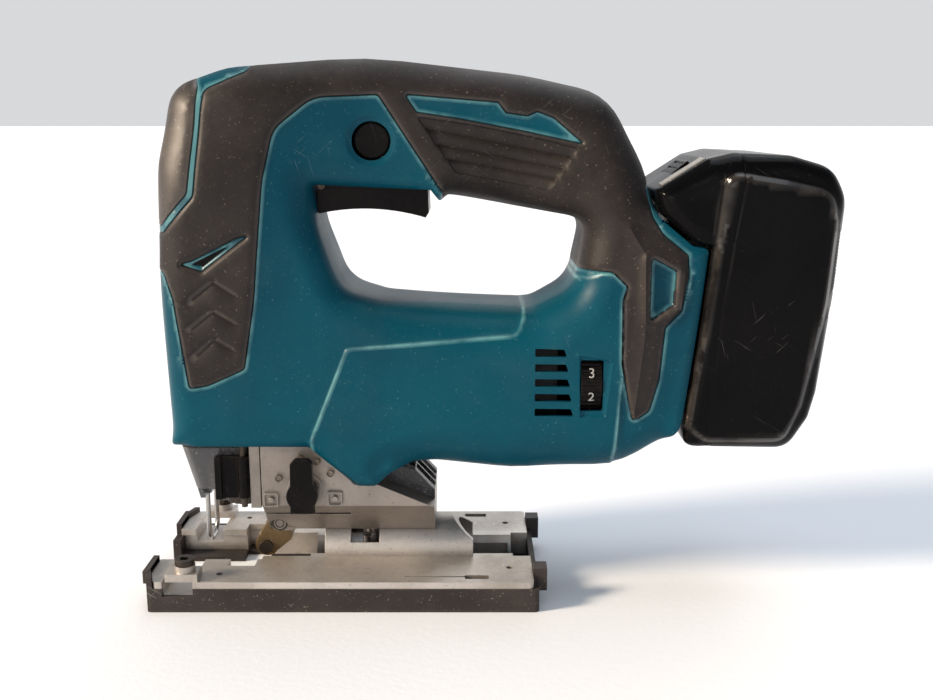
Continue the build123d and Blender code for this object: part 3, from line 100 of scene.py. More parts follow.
CHEVRONS = [((-109.6, 121.4), (-100.8, 128.4), (-92.4, 123.2)),
            ((-110.4, 110.2), (-101.2, 117.3), (-93.6, 112.8)),
            ((-109, 99.8), (-101.2, 106.4), (-94.6, 102.6))]
SIDE_PANEL = [(-66, 40, 0), (-66, 67.2, 2), (-55.4, 93.3, 4), (-51.4, 103.4, 3), (6.9, 107.9, 4),
              (13.4, 108.4, 4), (15.6, 114, 3), (16.4, 124, 0), (45, 132, 0), (56, 132, 0), (50, 40, 0)]
DIAL_BEZEL = [(36.7, 101.4, 1), (49.4, 99.3, 1), (47.2, 77.4, 1), (37.3, 76.9, 1)]
DIAL_WINDOW = [(37.4, 99.4, 0.8), (46, 99.4, 0.8), (46, 79.6, 0.8), (37.4, 79.6, 0.8)]
VENT_ROWS = 5
VENT_PITCH = 5.75
VENT_HEIGHT = 2.9
VENT_LOW = 77.6
VENT_LEFT = 20.2
VENT_RIGHT = 34.4
VENT_STEP_BACK = 0.7
LOCK_CENTRE = (-41.3, 180.2)
LOCK_R = 7.25
SCREW_SPOTS = [(-111.5, 172), (-84, 198), (-73, 150), (9, 195.5), (50, 172), (40, 58.5)]
SCREW_R = 3.1

# half width and edge rounding of the shell at a few places, as (x, z, half width, rounding)
WIDTHS = [(-121, 75, 26, 9), (-121, 110, 26.5, 10), (-121, 150, 25.5, 13), (-112, 195, 21, 14),
          (-95, 90, 28.5, 12), (-92, 125, 28.5, 14), (-92, 160, 27.6, 16), (-72, 168, 22.0, 12),
          (-80, 192, 22.5, 15), (-62, 205, 19.5, 15), (-55, 175, 19.8, 12), (-67, 146, 26.6, 8),
          (-60, 124, 28, 9),
          (-35, 195, 18.2, 15), (-5, 190, 17.5, 15.5), (25, 182, 17.5, 16), (48, 180, 19, 15),
          (56, 158, 25, 14), (48, 138, 27.5, 15), (66, 140, 32.5, 7), (-45, 112, 28, 15),
          (-45, 80, 29, 12), (-15, 110, 29, 20), (-15, 75, 31, 20), (20, 105, 30, 20), (20, 70, 31, 22),
          (45, 110, 32.4, 16), (45, 75, 32, 17), (66, 110, 33.5, 9), (64, 78, 33, 11)]
WIDTH_REACH = 21.0
# thin lips of the shell, as (line, half width, reach): trigger slot, mouth and battery face
LIPS = [([(-63.5, 163.8), (-19.3, 161.8)], 15.0, 7.0),
        ([(-121.3, 63), (-114, 63)], 21.5, 4.5),
        ([(-110, 63), (-67, 63), (-48, 47.6), (-40, 47.6), (-34, 53.8)], 24.6, 5.0),
        ([(66.5, 152), (79, 142), (84, 140), (83, 130), (76, 70)], 31.6, 5.0)]
# the same places, open to the middle plane, as (low x, high x, low z, high z)
OPENINGS = [(-63.6, -19.6, 160, 165.5), (-140, -33.6, 0, 64.6), (74, 140, 70, 140.5)]
SHELL_THICK = 2.0
GRIP_THICK = 1.5

# ---- small forms of the body's sides
GRIP_RISE = 0.75
BORDER_CUT = 0.55
BORDER_BEAD = 0.3
PANEL_STEP = 0.8
PANEL_BEAD = 0.25
HANDLE_PANEL_DEPTH = 1.0
RIB_DEPTH = 0.9
RIB_REACH = 0.55
CHEVRON_DEPTH = 1.3
RIDGE_RISE = 1.1
WINDOW_FRAME = 3.4
WINDOW_FRAME_RISE = 1.0
WINDOW_DEPTH = 1.1
HANDLE_STRIP_DEPTH = 0.5
SIDE_VENT_DEPTH = 1.6
LOCK_DISH = 1.0
LOCK_RIM = 2.2
BEZEL_DEPTH = 0.9

# ---- mesh spacing
BODY_SPACING = 2.0
PACK_SPACING = 2.2
EDGE_RINGS = (0.3, 1.0, 2.1, 3.6, 5.6, 8.0)
LINE_RINGS = (0.4, 0.95, 1.7)
ON_LINE = 0.02
WALL_ROWS = 4


def subdivided(path, closed, step):
    """The path with its long runs divided into pieces of at most step."""
    points = []
    count = len(path)
    for index in range(count if closed else count - 1):
        start, end = path[index], path[(index + 1) % count]
        pieces = max(1, math.ceil(np.linalg.norm(end - start) / step))
        points += [start + (end - start) * k / pieces for k in range(pieces)]
    if not closed:
        points.append(path[-1])
    return np.array(points)


def rounded(corners, step=1.3):
    """A closed loop through corners given as (x, z, radius)."""
    spots = np.array([corner[:2] for corner in corners], float)
    path = []
    for index, spot in enumerate(spots):
        radius = corners[index][2]
        back = spots[index - 1] - spot
        ahead = spots[(index + 1) % len(spots)] - spot
        length_back, length_ahead = np.linalg.norm(back), np.linalg.norm(ahead)
        back, ahead = back / length_back, ahead / length_ahead
        turn = math.acos(float(np.clip(-back @ ahead, -1, 1)))
        reach = min(radius * math.tan(turn / 2), 0.47 * length_back, 0.47 * length_ahead)
        if reach < 0.05:
            path.append(spot)
            continue
        for t in np.linspace(0, 1, max(3, math.ceil(turn / 0.2) + 1)):
            before, after = spot + back * reach, spot + ahead * reach
            path.append((1 - t) ** 2 * before + 2 * t * (1 - t) * spot + t * t * after)
    return subdivided(np.array(path), True, step)


def circle(centre, radius, count=36):
    """A closed loop round a centre."""
    turns = np.linspace(0, 2 * math.pi, count, endpoint=False)
    return np.stack([centre[0] + radius * np.cos(turns), centre[1] + radius * np.sin(turns)], 1)


def distance(points, path, closed=True):
    """Each point's distance to the path."""
    ends = np.roll(path, -1, 0) if closed else path[1:]
    starts = path if closed else path[:-1]
    along = ends - starts
    squares = np.maximum((along ** 2).sum(1), 1e-12)
    result = np.empty(len(points))
    for first in range(0, len(points), 3000):
        part = points[first:first + 3000, None] - starts[None]
        t = np.clip((part * along).sum(2) / squares, 0, 1)
        result[first:first + 3000] = np.sqrt(((part - t[..., None] * along) ** 2).sum(2).min(1))
    return result


def inside(points, loop):
    """Whether each point is inside the loop."""
    x, z = points[:, 0][:, None], points[:, 1][:, None]
    x0, z0 = loop[:, 0], loop[:, 1]
    x1, z1 = np.roll(x0, -1), np.roll(z0, -1)
    rise = np.where(np.abs(z1 - z0) < 1e-12, 1e-12, z1 - z0)
    crossing = ((z0 > z) != (z1 > z)) & (x < (x1 - x0) * (z - z0) / rise + x0)
    return crossing.sum(1) % 2 == 1


def inside_only(points, outer, cuts):
    """Whether each point is inside outer and inside none of the cuts."""
    keep = inside(points, outer)
    for loop in cuts:
        keep &= ~inside(points, loop)
    return keep


def soft_step(value, width):
    """0 below, 1 above, smooth over width."""
    t = np.clip(value / width + 0.5, 0, 1)
    return t * t * (3 - 2 * t)


def signed(points, loop):
    """Distance to the loop, positive inside."""
    return np.where(inside(points, loop), 1, -1) * distance(points, loop)


def offset_points(path, closed, amount):
    """Points beside the path, at a signed distance."""
    ahead = np.roll(path, -1, 0) if closed else np.vstack([path[1:], 2 * path[-1] - path[-2]])
    run = ahead - path
    length = np.maximum(np.linalg.norm(run, axis=1), 1e-9)[:, None]
    side = np.stack([-run[:, 1], run[:, 0]], 1) / length
    return (path + ahead) / 2 + side * amount


def triangulated(outer, gaps, holes, lines, spacing):
    """Points and triangles of the sheet inside outer, less its gaps and holes, with lines as edges."""
    cuts = gaps + holes
    loops = [(outer, True)] + [(cut, True) for cut in cuts] + lines
    fixed = np.vstack([path for path, closed in loops])
    edges = []
    first = 0
    for path, closed in loops:
        count = len(path)
        edges += [(first + k, first + (k + 1) % count) for k in range(count if closed else count - 1)]
        first += count
    chosen = [fixed]
    for number, (path, closed) in enumerate(loops):
        for amount in EDGE_RINGS if number <= len(gaps) else LINE_RINGS:
            for side in (-1, 1):
                beside = offset_points(path, closed, side * amount)
                beside = beside[inside_only(beside, outer, cuts)]
                if not len(beside):
                    continue
                beside = beside[distance(beside, path, closed) > 0.9 * amount]
                chosen.append(thinned(beside, np.vstack(chosen), min(0.8 * amount, 0.85)))
    low, high = outer.min(0), outer.max(0)
    rows = np.arange(low[1], high[1], spacing * 0.87)
    columns = np.arange(low[0], high[0], spacing)
    grid = np.array([(x + (k % 2) * spacing / 2, z) for k, z in enumerate(rows) for x in columns])
    grid = grid[inside(grid, outer)]
    chosen.append(thinned(grid, np.vstack(chosen), 0.66 * spacing))
    points = np.vstack(chosen)
    flat = [Vector(spot) for spot in points.tolist()]
    found, _, faces, _, _, _ = delaunay_2d_cdt(flat, edges, [], 0, 1e-4)
    found = np.array([(v.x, v.y) for v in found])
    faces = np.array([list(face) for face in faces if len(face) == 3])
    faces = faces[inside_only(found[faces].mean(1), outer, cuts)]
    used, faces = np.unique(faces, return_inverse=True)
    return found[used], faces.reshape(-1, 3)


def thinned(points, taken, gap):
    """The points that are further than gap from those taken and from each other."""
    if not len(points):
        return points.reshape(0, 2)
    tree = KDTree(len(taken))
    for index, (x, z) in enumerate(taken):
        tree.insert((x, z, 0), index)
    tree.balance()
    kept = []
    cells = {}
    for x, z in points:
        if tree.find((x, z, 0))[2] < gap:
            continue
        cell = (int(x // gap), int(z // gap))
        near = [p for i in (-1, 0, 1) for j in (-1, 0, 1) for p in cells.get((cell[0] + i, cell[1] + j), ())]
        if any((p[0] - x) ** 2 + (p[1] - z) ** 2 < gap * gap for p in near):
            continue
        cells.setdefault(cell, []).append((x, z))
        kept.append((x, z))
    return np.array(kept).reshape(-1, 2)


def shell_half_width(points, outer, gaps, widths, reach_of_width, lips):
    """A moulded shell's half width at each point of its side view."""
    spots = np.array(widths, float)
    away = ((points[:, None] - spots[None, :, :2]) ** 2).sum(2)
    weight = np.exp(-(away - away.min(1)[:, None]) / reach_of_width ** 2)
    weight /= weight.sum(1)[:, None]
    half = weight @ spots[:, 2]
    round_off = weight @ spots[:, 3]
    for line, lip, reach in lips:
        near = np.exp(-(distance(points, np.array(line, float), False) / reach) ** 2)
        round_off = round_off * (1 - near) + np.maximum(half - lip, 1.6) * near
    edge = distance(points, outer)
    for gap in gaps:
        edge = np.minimum(edge, distance(points, gap))
    share = np.clip(edge / round_off, 0, 1)
    return half - round_off + round_off * np.sqrt(1 - (1 - share) ** 2)


def normals_of(points, faces):
    """Area-weighted vertex normals."""
    a, b, c = (points[faces[:, k], :3] for k in range(3))
    across = np.cross(b - a, c - a)
    result = np.zeros((len(points), 3))
    for k in range(3):
        np.add.at(result, faces[:, k], across)
    return result / np.maximum(np.linalg.norm(result, axis=1), 1e-12)[:, None]


def triangle_edges(faces):
    """The three directed edges of every triangle."""
    return np.vstack([faces[:, [0, 1]], faces[:, [1, 2]], faces[:, [2, 0]]])


def border_edges(faces):
    """The directed edges that only one triangle uses."""
    edges = triangle_edges(faces)
    ordered = np.sort(edges, 1)
    keys = ordered[:, 0].astype(np.int64) * (faces.max() + 1) + ordered[:, 1]
    _, where, counts = np.unique(keys, return_index=True, return_counts=True)
    return edges[where[counts == 1]]


def closed_shell(name, points, faces, thick, seam=True):
    """An object with thickness from an outer surface. Points at y = 0 stay on the seam."""
    normals = normals_of(points, faces)
    if seam:
        normals[np.abs(points[:, 1]) < 1e-6, 1] = 0
        normals /= np.maximum(np.linalg.norm(normals, axis=1), 1e-9)[:, None]
    count = len(points)
    inner = points.copy()
    inner[:, :3] -= normals * thick
    rim = border_edges(faces)
    sides = np.vstack([np.stack([rim[:, 1], rim[:, 0], rim[:, 0] + count], 1),
                       np.stack([rim[:, 1], rim[:, 0] + count, rim[:, 1] + count], 1)])
    triangles = np.vstack([faces, faces[:, ::-1] + count, sides])
    return mesh_object(name, np.vstack([points, inner]), triangles)


def mesh_object(name, points, faces, sharp=38):
    """A smooth-shaded object from points in millimetres."""
    mesh = bpy.data.meshes.new(name)
    points = np.asarray(points, float)
    mesh.from_pydata((points[:, :3] * MM).tolist(), [], [list(map(int, face)) for face in faces])
    mesh.update()
    # a fourth column is a painted highlight, kept as the point attribute edge
    if points.shape[1] > 3:
        edge = mesh.attributes.new("edge", "FLOAT", "POINT")
        edge.data.foreach_set("value", points[:, 3].astype(np.float32))
    mesh.polygons.foreach_set("use_smooth", [True] * len(mesh.polygons))
    mesh.set_sharp_from_angle(angle=math.radians(sharp))
    piece = bpy.data.objects.new(name, mesh)
    bpy.context.scene.collection.objects.link(piece)
    return piece


def walls_open(middle):
    """Whether the shell has no wall at this place of its outline."""
    x, z = middle
    return any(low_x < x < high_x and low_z < z < high_z for low_x, high_x, low_z, high_z in OPENINGS)


def finished_side(points, faces, regions, on_outline, is_open, side):
    """Adds the walls from a side's outline to the middle plane, and turns the whole to its side."""
    owners = {tuple(sorted(edge)): number for face, number in zip(faces, regions)
              for edge in ((face[0], face[1]), (face[1], face[2]), (face[2], face[0]))}
    columns = {}
    extra_points, extra_faces, extra_regions = [], [], []
    for a, b in border_edges(faces):
        middle = (points[a, [0, 2]] + points[b, [0, 2]]) / 2
        if not (on_outline[a] and on_outline[b]) or is_open(middle):
            continue
        for end in (a, b):
            if end not in columns:
                columns[end] = [end]
                for row in range(1, WALL_ROWS + 1):
                    columns[end].append(len(points) + len(extra_points))
                    extra_points.append(points[end] * (1, 1 - row / WALL_ROWS, 1, 1))
        for row in range(WALL_ROWS):
            a0, a1 = columns[a][row], columns[a][row + 1]
            b0, b1 = columns[b][row], columns[b][row + 1]
            extra_faces += [(b0, a0, a1), (b0, a1, b1)]
            extra_regions += [owners[tuple(sorted((a, b)))]] * 2
    points = np.vstack([points, np.array(extra_points)])
    faces = np.vstack([faces, np.array(extra_faces)])
    regions = np.concatenate([regions, extra_regions])
    start = points[faces[0], :3]
    if np.cross(start[1] - start[0], start[2] - start[0])[1] > 0:
        faces = faces[:, ::-1]
    if side > 0:
        points = points * (1, -1, 1, 1)
        faces = faces[:, ::-1]
    return points, faces, regions


def moulded_side(side, holes, features):
    """The surface of one side of the body: points, triangles and the region of each triangle."""
    outer, gap = rounded(BODY), rounded(HAND_GAP)
    grip, pad, strip = rounded(HEAD_GRIP), rounded(FRONT_PAD), rounded(PAD_STRIP)
    window, handle_strip = rounded(GUARD_WINDOW, 0.9), rounded(HANDLE_STRIP, 0.9)
    vent = rounded(SIDE_VENT, 0.7)
    borders = [(loop, True) for loop in (grip, pad, strip, window, handle_strip, vent)]
    spots, faces = triangulated(outer, [gap], holes, borders + features["lines"], BODY_SPACING)

    def region_of(points):
        rubber = inside_only(points, grip, (strip, window, handle_strip, vent))
        return np.where(inside(points, pad), 2, np.where(rubber, 1, 0))

    half = shell_half_width(spots, outer, [gap], WIDTHS, WIDTH_REACH, LIPS)
    region = region_of(spots)
    face_region = region_of(spots[faces].mean(1))
    # a border is an edge whose two triangles are of different materials
    edges = triangle_edges(faces)
    ordered = np.sort(edges, 1)
    owner = np.tile(face_region, 3)
    keys = ordered[:, 0].astype(np.int64) * len(spots) + ordered[:, 1]
    order = np.argsort(keys, kind="stable")
    same = keys[order][1:] == keys[order][:-1]
    differ = owner[order][1:] != owner[order][:-1]
    changed = edges[order][1:][same & differ]
    tree = KDTree(2 * len(changed))
    for index, (a, b) in enumerate(changed):
        tree.insert((*spots[a], 0), 2 * index)
        tree.insert((*((spots[a] + spots[b]) / 2), 0), 2 * index + 1)
    tree.balance()
    on_border = np.zeros(len(spots), bool)
    on_border[changed.ravel()] = True
    near = np.where(on_border, 0, [tree.find((x, z, 0))[2] for x, z in spots])
    flat = np.clip(half / 6, 0, 1)
    grip_rise = GRIP_RISE * soft_step(near - BORDER_CUT, 1.1)
    rise = np.where(region > 0, grip_rise, BORDER_BEAD * np.exp(-((near - 0.8) / 0.5) ** 2))
    v_cut = BORDER_CUT * np.clip(1 - near / BORDER_CUT, 0, 1) ** 2
    half = half + (rise - v_cut) * flat + features["relief"](spots, region) * flat
    # lit is a painted highlight: pale lines just beside the borders of two materials, weaker on the rubber,
    # joined with the painted highlights of the side's forms, and kept as the mesh attribute edge
    lit = np.where(region > 0, 0.7, 1.0) * np.exp(-((near - 0.7) / 0.4) ** 2)
    lit = np.maximum(lit, features["pale"](spots, region))
    points = np.stack([spots[:, 0], -half, spots[:, 1], lit], 1)

    on_outline = (distance(spots, outer) < ON_LINE) | (distance(spots, gap) < ON_LINE)
    return finished_side(points, faces, face_region, on_outline, walls_open, side)


def region_surface(points, faces, chosen):
    """The part of a surface in the chosen triangles."""
    used, part = np.unique(faces[chosen], return_inverse=True)
    return points[used], part.reshape(-1, 3)


def welded(first, second):
    """Two surfaces as one, joined where they meet on the middle plane."""
    points = np.vstack([first[0], second[0]])
    faces = np.vstack([first[1], second[1] + len(first[0])])
    on_plane = np.abs(points[:, 1]) < 1e-6
    keys = np.round(points[:, :3] * 1000).astype(np.int64)
    keys[~on_plane, 1] = np.arange(1, len(points) + 1)[~on_plane] + 10 ** 9
    _, where, back = np.unique(keys, axis=0, return_index=True, return_inverse=True)
    return points[where], back.reshape(-1)[faces]


def side_relief(dial):
    """The small forms of one side: lines to cut the mesh along, their height, and a painted highlight along
    the panel's edge and the chevrons' top edges.
    """
    panel, handle_panel = rounded(SIDE_PANEL), rounded(HANDLE_PANEL)
    window = rounded(GUARD_WINDOW, 0.9)
    handle_strip, vent = rounded(HANDLE_STRIP, 0.9), rounded(SIDE_VENT, 0.7)
    bezel = rounded(DIAL_BEZEL, 0.9)
    lock_rim = circle(LOCK_CENTRE, LOCK_R + LOCK_RIM)
    chevrons = [subdivided(np.array(line, float), False, 1.1) for line in CHEVRONS]
    ribs = [subdivided(np.array(line, float), False, 1.3) for line in HANDLE_RIBS]
    ridge = subdivided(np.array(GUARD_RIDGE, float), False, 1.3)
    lines = [(panel, True), (handle_panel, True), (lock_rim, True)]
    lines += [(line, False) for line in chevrons + ribs + [ridge]]
    if dial:
        lines.append((bezel, True))

    def relief(points, region):
        body = region == 0
        grip = region == 1
        height = PANEL_STEP * soft_step(signed(points, panel), 1.0) * body
        height += PANEL_BEAD * np.exp(-((signed(points, panel) - 0.9) / 0.5) ** 2) * body
        height -= HANDLE_PANEL_DEPTH * soft_step(signed(points, handle_panel) - 0.3, 0.9)
        for line in ribs:
            height -= RIB_DEPTH * np.exp(-(distance(points, line, False) / RIB_REACH) ** 2)
        for line in chevrons:
            away = distance(points, line, False)
            below = points[:, 1] < np.interp(points[:, 0], line[:, 0], line[:, 1])
            fall = np.where(below, np.exp(-away / 2.6), np.exp(-(away / 0.5) ** 2))
            height -= CHEVRON_DEPTH * fall * grip
        height += RIDGE_RISE * np.exp(-distance(points, ridge, False) / 2.4) * grip
        height += WINDOW_FRAME_RISE * soft_step(WINDOW_FRAME + signed(points, window), 1.0) * grip
        height -= WINDOW_DEPTH * soft_step(signed(points, window) - 0.4, 0.8)
        height -= HANDLE_STRIP_DEPTH * soft_step(signed(points, handle_strip) - 0.5, 0.8)
        height -= SIDE_VENT_DEPTH * soft_step(signed(points, vent) - 0.2, 3.0)
        from_lock = np.linalg.norm(points - LOCK_CENTRE, axis=1)
        height -= LOCK_DISH * soft_step(LOCK_R + 1.3 - from_lock, 1.6)
        if dial:
            height -= BEZEL_DEPTH * soft_step(signed(points, bezel) - 0.4, 0.9)
        return height

    # painted highlight: pale lines along the side panel's edge and along the top edges of the chevrons
    def pale(points, region):
        lit = 0.8 * np.exp(-((signed(points, panel) - 0.4) / 0.45) ** 2) * (region == 0)
        for line in chevrons:
            above = points[:, 1] > np.interp(points[:, 0], line[:, 0], line[:, 1]) - 0.3
            glow = 0.9 * np.exp(-(distance(points, line, False) / 0.9) ** 2)
            lit = np.maximum(lit, glow * above * (region == 1))
        return lit

    return {"lines": lines, "relief": relief, "pale": pale}


def vent_slots():
    """The cooling slots, whose right ends step back row by row."""
    slots = []
    for row in range(VENT_ROWS):
        z = VENT_LOW + VENT_PITCH * row
        end = VENT_RIGHT - VENT_STEP_BACK * row
        slots.append(rounded([(VENT_LEFT, z, 0.5), (end + 0.5, z, 0.5), (end - 0.5, z + VENT_HEIGHT, 0.5),
                              (VENT_LEFT, z + VENT_HEIGHT, 0.5)], 0.9))
    return slots


def moulded_body():
    """The housing halves, the rubber grips and the front pad."""
    common = vent_slots() + [rounded(SIDE_VENT_HOLE, 0.7), circle(LOCK_CENTRE, LOCK_R)]
    left = moulded_side(-1, common + [rounded(DIAL_WINDOW, 0.9)], side_relief(True))
    right = moulded_side(1, common + [circle(spot, SCREW_R, 20) for spot in SCREW_SPOTS], side_relief(False))
    for name, (points, faces, regions) in (("left", left), ("right", right)):
        shell = closed_shell(f"shell_{name}", *region_surface(points, faces, regions == 0), SHELL_THICK)
        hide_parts(f"housing_{name}")
        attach(shell, "housing")
        dress(shell, "teal_nylon")
        rubber = closed_shell(f"rubber_{name}", *region_surface(points, faces, regions == 1), GRIP_THICK)
        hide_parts(f"grip_{name}")
        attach(rubber, "housing")
        dress(rubber, "grip_rubber")
    halves = [region_surface(points, faces, regions == 2) for points, faces, regions in (left, right)]
    pad = closed_shell("pad_skin", *welded(*halves), GRIP_THICK, seam=False)
    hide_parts("front_pad")
    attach(pad, "housing")
    dress(pad, "pad_rubber")


# ---- battery shells
PACK = [(76.6, 65.4, 5), (117, 64.9, 9), (124.4, 77, 5), (126.8, 87, 5), (131, 128, 60), (133, 160, 14),
        (127.5, 170.8, 12), (112, 175.3, 12), (92, 176.3, 8), (82.8, 174.1, 3), (64.4, 162.4, 2),
        (65.0, 158.5, 2), (67.2, 153.4, 4), (79.2, 143.2, 3), (85.0, 142.0, 1)]
PACK_PANEL = [(88.4, 170, 6), (110, 166.6, 20), (126.6, 162.8, 9), (129.6, 152, 30), (127.6, 121, 60),
              (120.4, 82.6, 12), (114.6, 68.6, 7), (84.8, 68.2, 5), (76.6, 73.5, 3), (82, 112, 60)]
PACK_SPLIT = [(93.2, 186, 0), (94.9, 168, 3), (88.2, 121.5, 60), (85.2, 76, 4), (84.4, 50, 0),
              (150, 50, 0), (150, 186, 0)]
PACK_WIDTHS = [(70, 160, 29, 5.5), (80, 168, 31, 6.5), (76, 152, 31.5, 3), (89, 170, 34.8, 9),
               (86, 150, 34.5, 3), (81, 120, 34.5, 2), (76, 72, 34, 4), (110, 172, 35, 5.5),
               (128, 160, 35, 5.5), (126, 120, 35, 5), (116, 72, 35, 5), (105, 120, 35, 5)]
PACK_WIDTH_REACH = 12.0
PANEL_RISE = 2.5
SPLIT_DEPTH = 0.35
# the rails: a section as (out of the case, y), and its places along the slide
RAIL_SECTION = [(0.8, -26.5), (0.8, 26.5), (-1.4, 26.5), (-1.4, 24.3), (-9.8, 24.3), (-9.8, 26.5),
                (-14, 26.5), (-15, 25.5), (-15, -25.5), (-14, -26.5), (-9.8, -26.5), (-9.8, -24.3),
                (-1.4, -24.3), (-1.4, -26.5)]
RAIL_STEPS = [-45.5, -44.5, -17, 11, 12]
RAIL_AT = (83.8, 132)
RAIL_LEAN = 6.3


def pack_side(side):
    """One side of the battery's case, in the same form as a side of the body."""
    outer, panel, split = rounded(PACK), rounded(PACK_PANEL), rounded(PACK_SPLIT)
    spots, faces = triangulated(outer, [], [], [(panel, True), (split, True)], PACK_SPACING)
    half = shell_half_width(spots, outer, [], PACK_WIDTHS, PACK_WIDTH_REACH, [])
    edge = signed(spots, panel)
    half += PANEL_RISE * soft_step(edge - 0.6, 3.2) * np.clip(half / 30, 0, 1)
    seam = distance(spots, split)
    half -= SPLIT_DEPTH * np.exp(-(seam / SPLIT_DEPTH) ** 2)
    # lit is a painted highlight along the edge of the battery's raised panel, kept as the mesh attribute edge
    lit = 0.9 * np.exp(-((edge - 1.0) / 0.8) ** 2)
    points = np.stack([spots[:, 0], -half, spots[:, 1], lit], 1)
    region = np.where(inside(spots[faces].mean(1), split), 1, 0)
    return finished_side(points, faces, region, distance(spots, outer) < ON_LINE, lambda middle: False, side)


def battery_shells():
    """Front and rear case of the battery, and the rails on its front."""
    sides = (pack_side(-1), pack_side(1))
    cases = (("pack_front", "battery_case_upper"), ("pack_rear", "battery_case_lower"))
    for number, (name, node) in enumerate(cases):
        halves = [region_surface(points, faces, regions == number) for points, faces, regions in sides]
        case = closed_shell(name, *welded(*halves), SHELL_THICK, seam=False)
        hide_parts(node)
        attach(case, "battery")
        dress(case, "battery_gloss")
    # the rails' section is drawn along the slide, a little smaller at both ends
    lean = math.radians(RAIL_LEAN)
    points, faces = [], []
    for step, u in enumerate(RAIL_STEPS):
        inset = 0.96 if step in (0, len(RAIL_STEPS) - 1) else 1.0
        for v, y in RAIL_SECTION:
            v = v if v > 0 else v * inset
            points.append((RAIL_AT[0] + v * math.cos(lean) + u * math.sin(lean), y * inset,
                           RAIL_AT[1] - v * math.sin(lean) + u * math.cos(lean)))
    count = len(RAIL_SECTION)
    for step in range(len(RAIL_STEPS) - 1):
        for k in range(count):
            a, b = step * count + k, step * count + (k + 1) % count
            faces.append((a, a + count, b + count, b))
    faces.append(tuple(range(count)))
    faces.append(tuple(range(len(points) - 1, len(points) - 1 - count, -1)))
    rails = mesh_object("pack_rails", points, faces, 25)
    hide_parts("battery_case_upper")
    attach(rails, "battery")
    dress(rails, "battery_black")


# ---- small marks
SETTING_SPOTS = ((-82.8, 41.3), (-57.6, 41.8))
SETTING_HALF = 2.9
DETENT_SPOTS = ((-79.4, 50.4), (-70.6, 58.6), (-64.2, 57.2), (-59.1, 52.4))
GAUGE_ENDS = ((66.9, 164.0), (82.4, 173.9))
GAUGE_ALONG = (0.843, 0.538)
GAUGE_Y = (-24.4, -16.6)
# painted shade: dark plates inside the housing, behind the vents
SHADE_PLATE_Y = (25.0, 25.6)
SHADE_PLATE_WALL = [(30.6, 58), (36, 58), (36, 64), (42, 64), (42, 105.5), (30.6, 105.5)]
BAY_WALL_X = 61.6
BAY_WALL_THICK = 1.6
BAY_WALL = [(-28, 64, 6), (28, 64, 6), (28, 144, 10), (-28, 144, 10)]
PIN = (-82.5, 25.6)
PIN_TAB = [(-88.4, 31, 0.5), (-87.4, 26, 3), (-84.4, 22.2, 3), (-76.8, 22.4, 3), (-74.4, 26, 2),
           (-73.6, 31, 0.5)]
TAB_Y = (6.6, 9.7)
LIP_PATH = [(-132.9, 17.2), (-132.9, 29.4), (-130.1, 38.3)]
LIP_THICK = 2.2
LIP_Z = (0.3, 14.4)
DIGIT_SIZE = 5.4
DIGIT_RELIEF = 0.12
DIGIT_ANGLE = 43


def prism(points, faces, loop, y0, y1):
    """Adds a flat raised shape with a side-view outline to lists of points and faces."""
    first, count = len(points), len(loop)
    points += [(x, y0, z) for x, z in loop] + [(x, y1, z) for x, z in loop]
    faces += [(first + k, first + (k + 1) % count, first + count + (k + 1) % count, first + count + k)
              for k in range(count)]
    faces.append(tuple(first + count + k for k in range(count)))
    faces.append(tuple(first + k for k in reversed(range(count))))


def small_piece(name, points, faces):
    """An object of small closed forms whose faces all point outward."""
    piece = mesh_object(name, points, faces, 30)
    form = bmesh.new()
    form.from_mesh(piece.data)
    bmesh.ops.recalc_face_normals(form, faces=form.faces)
    form.to_mesh(piece.data)
    form.free()
    return piece


def frame_ring(points, faces, outer, inner, y0, y1):
    """Adds a raised ring between two loops of the same number of points."""
    first, count = len(points), len(outer)
    for row, (y, loop) in enumerate(((y0, outer), (y1, outer), (y1, inner), (y0, inner))):
        points += [(x, y, z) for x, z in loop]
        step = count if row < 3 else -3 * count
        for k in range(count):
            a, b = first + row * count + k, first + row * count + (k + 1) % count
            faces.append((a, b, b + step, a + step))


def gear_case_marks():
    """Plain frames, detent marks and their dimples on the gear housing's left side."""
    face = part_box("gear_housing")[0].y / MM
    points, faces = [], []
    half = SETTING_HALF
    for x, z in SETTING_SPOTS:
        big = rounded([(x + i * half, z + j * half, 0.8) for i, j in ((-1, -1), (1, -1), (1, 1), (-1, 1))], 3)
        small = (big - (x, z)) * 0.82 + (x, z)
        frame_ring(points, faces, big, small, face + 0.3, face - 0.25)
        prism(points, faces, circle((x, z), 1.1, 20), face + 0.3, face - 0.2)
    frames = small_piece("setting_frames", points, faces)
    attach(frames, "housing")
    dress(frames, "cast_aluminium")
    points, faces = [], []
    for spot in DETENT_SPOTS:
        frame_ring(points, faces, circle(spot, 1.45, 24), circle(spot, 1.05, 24), face + 0.3, face - 0.22)
    dimples = small_piece("detent_rings", points, faces)
    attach(dimples, "housing")
    dress(dimples, "dark_steel")


